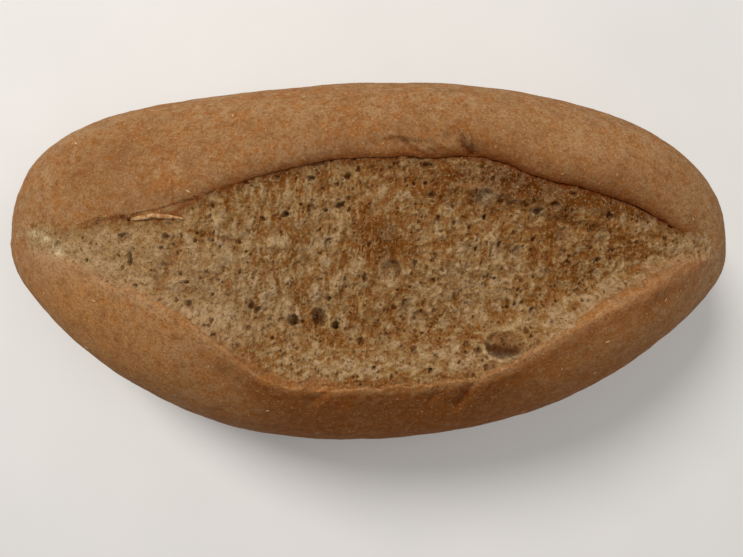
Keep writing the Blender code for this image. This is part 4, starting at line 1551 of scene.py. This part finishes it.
def draw_lines(tree, place, lines):
    """How dark thin lines make a point, 0 to 1: ends, width and darkness of each."""
    ragged = add(tree, "ShaderNodeTexNoise", {"Vector": place, "Scale": 700.0, "Detail": 2.0})
    shifted = add(
        tree,
        "ShaderNodeVectorMath",
        {0: ragged.outputs["Color"], 1: (LINE_RAGGED, LINE_RAGGED, 0.0), 2: place},
        operation="MULTIPLY_ADD",
    )
    darkness = None
    for start_x, start_y, end_x, end_y, width, amount in lines:
        run = Vector((end_x - start_x, end_y - start_y, 0.0))
        start = Vector((-start_x - LINE_RAGGED / 2, -start_y - LINE_RAGGED / 2, 0.0))
        away = add(
            tree,
            "ShaderNodeVectorMath",
            {0: shifted.outputs[0], 1: (1.0, 1.0, 0.0), 2: start},
            operation="MULTIPLY_ADD",
        ).outputs[0]
        share = add(
            tree,
            "ShaderNodeVectorMath",
            {0: away, 1: run / run.length_squared},
            operation="DOT_PRODUCT",
        )
        kept = add(tree, "ShaderNodeClamp", {0: share.outputs["Value"]})
        gap = add(
            tree,
            "ShaderNodeVectorMath",
            {0: kept.outputs[0], 1: -run, 2: away},
            operation="MULTIPLY_ADD",
        )
        distance = add(tree, "ShaderNodeVectorMath", {0: gap.outputs[0]}, operation="LENGTH")
        line = add(
            tree,
            "ShaderNodeMapRange",
            {"Value": distance.outputs["Value"], 1: 0.0, 2: width, 3: amount, 4: 0.0},
            interpolation_type="SMOOTHSTEP",
        )
        if darkness:
            line = add(
                tree, "ShaderNodeMath", {0: darkness, 1: line.outputs[0]}, operation="MAXIMUM"
            )
        darkness = line.outputs[0]
    return darkness


def finish(tree, colour, roughness, ior, specular, normal=None):
    """The surface's shader and the material's output."""
    given = {
        "Base Color": colour,
        "Roughness": roughness,
        "IOR": ior,
        "Specular IOR Level": specular,
    }
    if normal:
        given["Normal"] = normal
    shader = add(tree, "ShaderNodeBsdfPrincipled", given)
    add(tree, "ShaderNodeOutputMaterial", {0: shader.outputs[0]})


def crust_colour(tree, place):
    """Baked rye crust's brown, mottled where it browned unevenly and redder along the crease and
    the lip, with painted shade, partly a darker bake, on the front and below the lip, and
    painted shade where the flap rolls into the crease; the crumb's frayed edge wears it too."""
    paint = bpy.context.scene.rye_colours
    colour = tint(
        tree,
        place,
        list(paint.crust),
        (
            (30.0, 2.0, 0.42, 0.62, 0.70, paint.crust_pale),
            (11.0, 3.0, 0.48, 0.64, 0.80, paint.crust_red),
            (4.4, 2.0, 0.48, 0.62, 0.75, paint.crust_red),
            (3.0, 2.0, 0.48, 0.62, 0.75, paint.crust_pale),
            (1.5, 2.0, 0.50, 0.68, 0.42, paint.crust_red),
            (0.9, 2.0, 0.50, 0.66, 0.55, paint.crust_pale),
        ),
    )
    colour = stain(
        tree,
        place,
        colour,
        (
            # the front side's painted shade, partly a darker bake
            ("front", 0.78, 2.4, 0.28, paint.front_shade_and_bake),
            ("browned", 0.70, 3.0, 0.30, paint.crust_dark),
            # the crease's red-brown, partly painted shade
            ("crease", 0.60, 2.0, 0.25, paint.crease),
            ("gold", 0.60, 6.0, 0.25, paint.gold),
            ("edge", 0.55, 2.2, 0.30, paint.edge),
            # painted shade, partly a darker bake, below the lip
            ("lip_shade_and_bake", 0.90, 1.8, 0.40, paint.lip_shade_and_bake),
            ("dust", 0.80, 2.5, 0.15, paint.dust),
            ("pale", 0.85, 1.0, 0.30, paint.torn),
        ),
    )
    return tint(
        tree,
        place,
        colour,
        (
            (4.5, 3.0, 0.50, 0.34, 0.35, paint.crust_dark),
            (1.8, 3.0, 0.48, 0.32, 0.42, paint.crust_dark),
            (0.70, 2.0, 0.50, 0.32, 0.60, paint.crust_dark),
            (0.80, 2.0, 0.58, 0.76, 0.45, paint.bran),
        ),
    )


def crust_material():
    """Baked rye crust: a dull, dry skin of starch and bran that scatters light."""
    material, tree, place = blank_material("baked_rye_crust_skin")
    paint = bpy.context.scene.rye_colours
    # the crease's painted shadow line
    layers = (("seam", 0.60, 1.5, 0.2, paint.seam),)
    colour = stain(tree, place, crust_colour(tree, place), layers)
    # the drawn lines' darkness: partly browner skin, partly painted shade
    drawn = draw_lines(tree, place, DRAWN_LINES)
    depth = add(tree, "ShaderNodeMath", {0: drawn, 1: LINE_PAINT}, operation="MULTIPLY")
    colour = add(
        tree,
        "ShaderNodeMix",
        {0: depth.outputs[0], 6: colour, 7: list(paint.seam)},
        data_type="RGBA",
    ).outputs[2]
    normal = roughen(tree, place, ((3.0, 3.0, 0.22), (0.9, 3.0, 0.20)))
    normal = add(
        tree,
        "ShaderNodeBump",
        {"Height": drawn, "Distance": LINE_DEPTH, "Normal": normal},
        invert=True,
    ).outputs[0]
    finish(tree, colour, 0.75, 1.45, 0.06, normal)
    return material


def sliver_material():
    """A torn strip of the same crust, baked thin and lighter."""
    material, tree, place = blank_material("torn_crust_strip")
    paint = bpy.context.scene.rye_colours
    colour = tint(
        tree,
        place,
        list(paint.bran),
        (
            (2.2, 2.0, 0.60, 0.40, 0.8, paint.crust_red),
            (0.6, 1.0, 0.50, 0.36, 0.5, paint.crust_dark),
        ),
    )
    finish(tree, colour, 0.7, 1.45, 0.28, roughen(tree, place, ((0.9, 3.0, 0.12),)))
    return material


def crumb_material():
    """Torn rye crumb: starch foam, toasted golden to red-brown on what stands up, and still a
    cool khaki grey in the pores and on the films between them; painted shade darkens its
    pores, the creases between its tufts and the strip below the crease."""
    material, tree, place = blank_material("toasted_rye_crumb")
    paint = bpy.context.scene.rye_colours
    toast = add(tree, "ShaderNodeAttribute", attribute_name="toast").outputs["Fac"]
    for size, detail, strength in ((3.0, 2.0, 0.9), (1.3, 2.0, 0.5)):
        fleck = add(
            tree,
            "ShaderNodeTexNoise",
            {"Vector": place, "Scale": 1000 / size, "Detail": detail, "Roughness": 0.6},
        )
        shifted = add(
            tree,
            "ShaderNodeMath",
            {0: fleck.outputs["Fac"], 1: strength, 2: -strength / 2},
            operation="MULTIPLY_ADD",
        )
        toast = add(
            tree, "ShaderNodeMath", {0: toast, 1: shifted.outputs[0]}, operation="ADD"
        ).outputs[0]
    ramp = add(tree, "ShaderNodeValToRGB", {0: toast})
    stops = ramp.color_ramp.elements
    stops[0].position, stops[0].color = 0.08, list(paint.crumb_pale)
    stops[1].position, stops[1].color = 0.98, list(paint.crumb_brown)
    stops.new(0.40).color = list(paint.crumb)
    stops.new(0.68).color = list(paint.crumb_toast)
    colour = stain(
        tree,
        place,
        ramp.outputs[0],
        (
            ("shade", 0.95, 2.0, 0.12, paint.shade),
            ("grey", 0.60, 1.5, 0.20, paint.crumb_grey),
            ("pale", 0.60, 1.0, 0.30, paint.torn),
            ("dust", 0.80, 2.0, 0.25, paint.dust),
            ("white", 0.80, 1.0, 0.25, paint.crumb_white),
        ),
    )
    colour = tint(
        tree,
        place,
        colour,
        (
            (1.8, 3.0, 0.50, 0.30, 0.52, paint.crumb_brown),
            (0.80, 3.0, 0.46, 0.30, 0.46, paint.crumb_brown),
            (0.80, 3.0, 0.55, 0.73, 0.52, paint.torn),
            # dark specks of painted shade, as in the tiniest pores
            (0.75, 1.0, 0.38, 0.27, 0.70, paint.pore_shadow),
        ),
    )
    skin = add(tree, "ShaderNodeAttribute", attribute_name="skin").outputs["Fac"]
    colour = add(
        tree,
        "ShaderNodeMix",
        {0: skin, 6: colour, 7: crust_colour(tree, place)},
        data_type="RGBA",
    ).outputs[2]
    # the pores' painted shade, then the crease's painted shadow line
    layers = (("pore_shade", 0.80, 1.0, 0.12, paint.pore_shadow), ("seam", 0.60, 1.5, 0.2, paint.seam))
    colour = stain(tree, place, colour, layers)
    normal = roughen(tree, place, ((1.6, 3.0, 0.60), (0.5, 2.0, 0.16)))
    finish(tree, colour, 0.80, 1.42, 0.04, normal)
    return material


def bran_material():
    """Rye bran: dry, papery flakes, paler than the crust they lie in."""
    material, tree, place = blank_material("rye_bran_flake")
    paint = bpy.context.scene.rye_colours
    layers = ((2.4, 1.0, 0.42, 0.60, 1.0, paint.bran_dull),)
    finish(tree, tint(tree, place, list(paint.bran), layers), 0.7, 1.45, 0.3)
    return material


def thread_material():
    """Dried gluten: thin, slightly shiny threads, pale where they dried and brown where
    they toasted."""
    material, tree, place = blank_material("dried_gluten_thread")
    paint = bpy.context.scene.rye_colours
    layers = ((3.0, 2.0, 0.45, 0.60, 0.9, paint.crumb_toast),)
    finish(tree, tint(tree, place, list(paint.crumb_pale), layers), 0.65, 1.45, 0.15)
    return material


def floor_material():
    """Painted board: an even, matte, pale grey that only takes the loaf's shadow."""
    material, tree, place = blank_material("pale_painted_board")
    paint = bpy.context.scene.rye_colours
    layers = ((60.0, 2.0, 0.35, 0.65, 0.35, paint.floor_dull),)
    finish(tree, tint(tree, place, list(paint.floor), layers), 0.8, 1.45, 0.3)
    return material


# ---- camera, light and floor -------------------------------------------------------------

IMAGE_WIDTH = 743
FOCAL_PIXELS = 558.0
SENSOR = 36.0
CAMERA_TILT = math.radians(2.0)
CAMERA_HEIGHT = 0.234
CAMERA_AIM = (0.001, -0.006, 0.030)
# Soft lights: name, place, size, power, colour.
LIGHTS = (
    ("window", (-0.46, 0.56, 0.88), 0.42, 8.8, "#FFF6EA"),
    ("overhead", (0.34, 0.02, 0.92), 0.70, 2.6, "#FFF6EC"),
)
LIGHT_AIM = (0.0, 0.0, 0.04)
AMBIENT = 0.25
AMBIENT_COLOUR = "#FAF6F0"
FLOOR_SIZE = 3.0


def make_camera():
    """The camera, almost straight above the loaf."""
    data = bpy.data.cameras.new("camera")
    data.sensor_width = SENSOR
    data.lens = FOCAL_PIXELS / IMAGE_WIDTH * SENSOR
    data.clip_start = 0.01
    camera = bpy.data.objects.new("camera", data)
    back = (CAMERA_HEIGHT - CAMERA_AIM[2]) * math.tan(CAMERA_TILT)
    camera.location = (CAMERA_AIM[0], CAMERA_AIM[1] - back, CAMERA_HEIGHT)
    camera.rotation_euler = (CAMERA_TILT, 0.0, 0.0)
    bpy.context.scene.collection.objects.link(camera)
    bpy.context.scene.camera = camera


def make_lights():
    """Two soft lights and an even glow from all around."""
    for name, place, size, power, code in LIGHTS:
        data = bpy.data.lights.new(name, "AREA")
        data.shape = "DISK"
        data.size = size
        data.energy = power
        data.color = linear(code)[:3]
        light = bpy.data.objects.new(name, data)
        light.location = place
        towards = Vector(LIGHT_AIM) - Vector(place)
        light.rotation_euler = towards.to_track_quat("-Z", "Y").to_euler()
        bpy.context.scene.collection.objects.link(light)
    world = bpy.data.worlds.new("studio")
    world.use_nodes = True
    background = world.node_tree.nodes["Background"]
    background.inputs[0].default_value = linear(AMBIENT_COLOUR)
    background.inputs[1].default_value = AMBIENT
    bpy.context.scene.world = world
    bpy.context.scene.view_settings.view_transform = "Standard"


def make_floor():
    """A plain pale floor at height 0."""
    reach = FLOOR_SIZE / 2
    corners = [(-reach, -reach, 0), (reach, -reach, 0), (reach, reach, 0), (-reach, reach, 0)]
    new_piece("floor", corners, [(0, 1, 2, 3)], floor_material())


# ---- the add-on ----------------------------------------------------------------------------


def colour(name, description, code):
    """A colour a user can change, from an sRGB hex value."""
    return bpy.props.FloatVectorProperty(
        name=name,
        description=description,
        default=linear(code),
        size=4,
        min=0.0,
        max=1.0,
        subtype="COLOR",
    )


def length(name, description, metres):
    """A length a user can change."""
    return bpy.props.FloatProperty(
        name=name,
        description=description,
        default=metres,
        min=0.0,
        precision=5,
        subtype="DISTANCE",
        unit="LENGTH",
    )


class RyeColours(bpy.types.PropertyGroup):
    """Colours of the loaf"""

    crust: colour("Crust", "The crust's main brown", "#98724A")
    crust_pale: colour("Pale crust", "Where the crust browned least", "#A88A66")
    crust_red: colour("Red crust", "Where the crust browned most on top", "#9A6432")
    crust_dark: colour("Dark grain", "The darker grains of the crust", "#704420")
    # Painted shade, partly a darker bake, on the side that faces away from the lights
    front_shade_and_bake: colour("Baked front", "The darker baked front side", "#804302")
    # Red-brown skin, partly painted shade where the flap rolls down into the crease; also the
    # baked skin over the left of the lip
    crease: colour("Crease", "Red-brown of the skin along the crease", "#74401A")
    edge: colour("Edge", "Red-brown of the skin along the front lip", "#A05A20")
    # Painted shadow line down in the crease; the drawn wrinkles and folds are painted with it too
    seam: colour("Seam", "The dark line down in the crease", "#622600")
    shade: colour("Shade", "The crumb in the shade of the flap", "#461A00")
    # Painted shade, partly a darker bake, just below the front lip
    lip_shade_and_bake: colour("Brow", "The dark baked skin just below the front lip", "#643206")
    gold: colour("Gold", "The golden crust at the front of the left end", "#B47C44")
    dust: colour("Dust", "The paler, duller rim of the crust", "#AC8C6A")
    torn: colour("Torn", "Pale torn edges and rims", "#BEA67C")
    bran: colour("Bran", "Pale bran on the crust", "#CCA678")
    bran_dull: colour("Dull bran", "Duller bran", "#B48854")
    crumb_pale: colour("Pale crumb", "Crumb that hardly browned", "#B09472")
    crumb: colour("Crumb", "The crumb's golden khaki", "#8E6E44")
    crumb_toast: colour("Toasted crumb", "Toasted crumb", "#805226")
    crumb_brown: colour("Browned crumb", "The darkest toasting", "#603404")
    # Also the painted light caught in two pores
    crumb_white: colour("Fresh crumb", "Crumb where it tore last", "#DCCFB0")
    crumb_grey: colour("Grey crumb", "Films and the floors of large pores", "#8E785A")
    # Painted shade inside the pores
    pore_shadow: colour("Pore", "The dark inside of small pores", "#3E1800")
    floor: colour("Floor", "The studio floor", "#E8EBEF")
    floor_dull: colour("Dull floor", "The floor's slightly darker parts", "#E0E4E8")


class RyeSizes(bpy.types.PropertyGroup):
    """Sizes of the loaf's pieces"""

    bed_depth: length("Bed depth", "How deep the crust's floor lies under the crumb", 0.0072)
    undercut: length("Undercut", "How far the crease reaches in under the flap", 0.00015)
    crumb_cell: length("Crumb cell", "Spacing of the crumb's grid", 0.00033)
    crumb_root: length("Crumb root", "Height of the crumb's hidden underside", 0.044)
    bran_least: length("Least bran", "Length of the smallest flake of bran", 0.0003)
    bran_largest: length("Largest bran", "Length of the largest flake of bran", 0.0016)
    bran_per_area: bpy.props.FloatProperty(
        name="Bran", description="Flakes on a square metre of crust", default=20000.0, min=0.0
    )
    tuft_height: length("Tuft height", "Height of the crumb's tufts", 0.0018)
    thread_least: length("Shortest thread", "Length of the shortest thread", 0.0010)
    thread_largest: length("Longest thread", "Length of the longest thread", 0.0026)
    thread_width: length("Thread width", "Thickness of a thread", 0.00019)
    threads_per_area: bpy.props.FloatProperty(
        name="Threads", description="Threads on a square metre of crumb", default=26000.0, min=0.0
    )


class RYE_OT_stage(bpy.types.Operator):
    """Adds the floor, the lights and the camera"""

    bl_idname = "rye.stage"
    bl_label = "Stage"

    def execute(self, context):
        make_floor()
        make_lights()
        make_camera()
        return {"FINISHED"}


class RYE_OT_crust(bpy.types.Operator):
    """Adds the crust with its rolled flap and its front lip"""

    bl_idname = "rye.crust"
    bl_label = "Crust"

    def execute(self, context):
        make_crust(context.scene.rye_sizes)
        return {"FINISHED"}


class RYE_OT_sliver(bpy.types.Operator):
    """Adds the strip of crust that tore loose beside the crease"""

    bl_idname = "rye.sliver"
    bl_label = "Torn strip"

    def execute(self, context):
        make_sliver()
        return {"FINISHED"}


class RYE_OT_crumb(bpy.types.Operator):
    """Adds the torn, toasted crumb"""

    bl_idname = "rye.crumb"
    bl_label = "Crumb"

    def execute(self, context):
        make_crumb(context.scene.rye_sizes)
        return {"FINISHED"}


class RYE_OT_bran(bpy.types.Operator):
    """Adds the bran on the crust"""

    bl_idname = "rye.bran"
    bl_label = "Bran"

    def execute(self, context):
        make_bran(context.scene.rye_sizes)
        return {"FINISHED"}


class RYE_OT_threads(bpy.types.Operator):
    """Adds the threads over the crumb's pores"""

    bl_idname = "rye.threads"
    bl_label = "Threads"

    def execute(self, context):
        make_threads(context.scene.rye_sizes)
        return {"FINISHED"}


OPERATORS = (
    RYE_OT_stage,
    RYE_OT_crust,
    RYE_OT_sliver,
    RYE_OT_crumb,
    RYE_OT_bran,
    RYE_OT_threads,
)


class RYE_PT_panel(bpy.types.Panel):
    """Lists what the loaf is built from, its sizes and its colours"""

    bl_idname = "RYE_PT_panel"
    bl_label = "Rye Loaf"
    bl_space_type = "VIEW_3D"
    bl_region_type = "UI"
    bl_category = "Rye Loaf"

    def draw(self, context):
        for operator in OPERATORS:
            self.layout.operator(operator.bl_idname)
        for name in RyeSizes.__annotations__:
            self.layout.prop(context.scene.rye_sizes, name)
        for name in RyeColours.__annotations__:
            self.layout.prop(context.scene.rye_colours, name)


CLASSES = (RyeColours, RyeSizes) + OPERATORS + (RYE_PT_panel,)


def register():
    """Adds the operators, the panel and the scene's settings."""
    for kind in CLASSES:
        bpy.utils.register_class(kind)
    bpy.types.Scene.rye_colours = bpy.props.PointerProperty(type=RyeColours)
    bpy.types.Scene.rye_sizes = bpy.props.PointerProperty(type=RyeSizes)


def unregister():
    """Takes away what register added."""
    del bpy.types.Scene.rye_sizes
    del bpy.types.Scene.rye_colours
    for kind in reversed(CLASSES):
        bpy.utils.unregister_class(kind)


def main():
    """Builds the stage and every piece."""
    register()
    bpy.ops.rye.stage()
    bpy.ops.rye.crust()
    bpy.ops.rye.sliver()
    bpy.ops.rye.crumb()
    bpy.ops.rye.bran()
    bpy.ops.rye.threads()


if __name__ == "__main__":
    main()
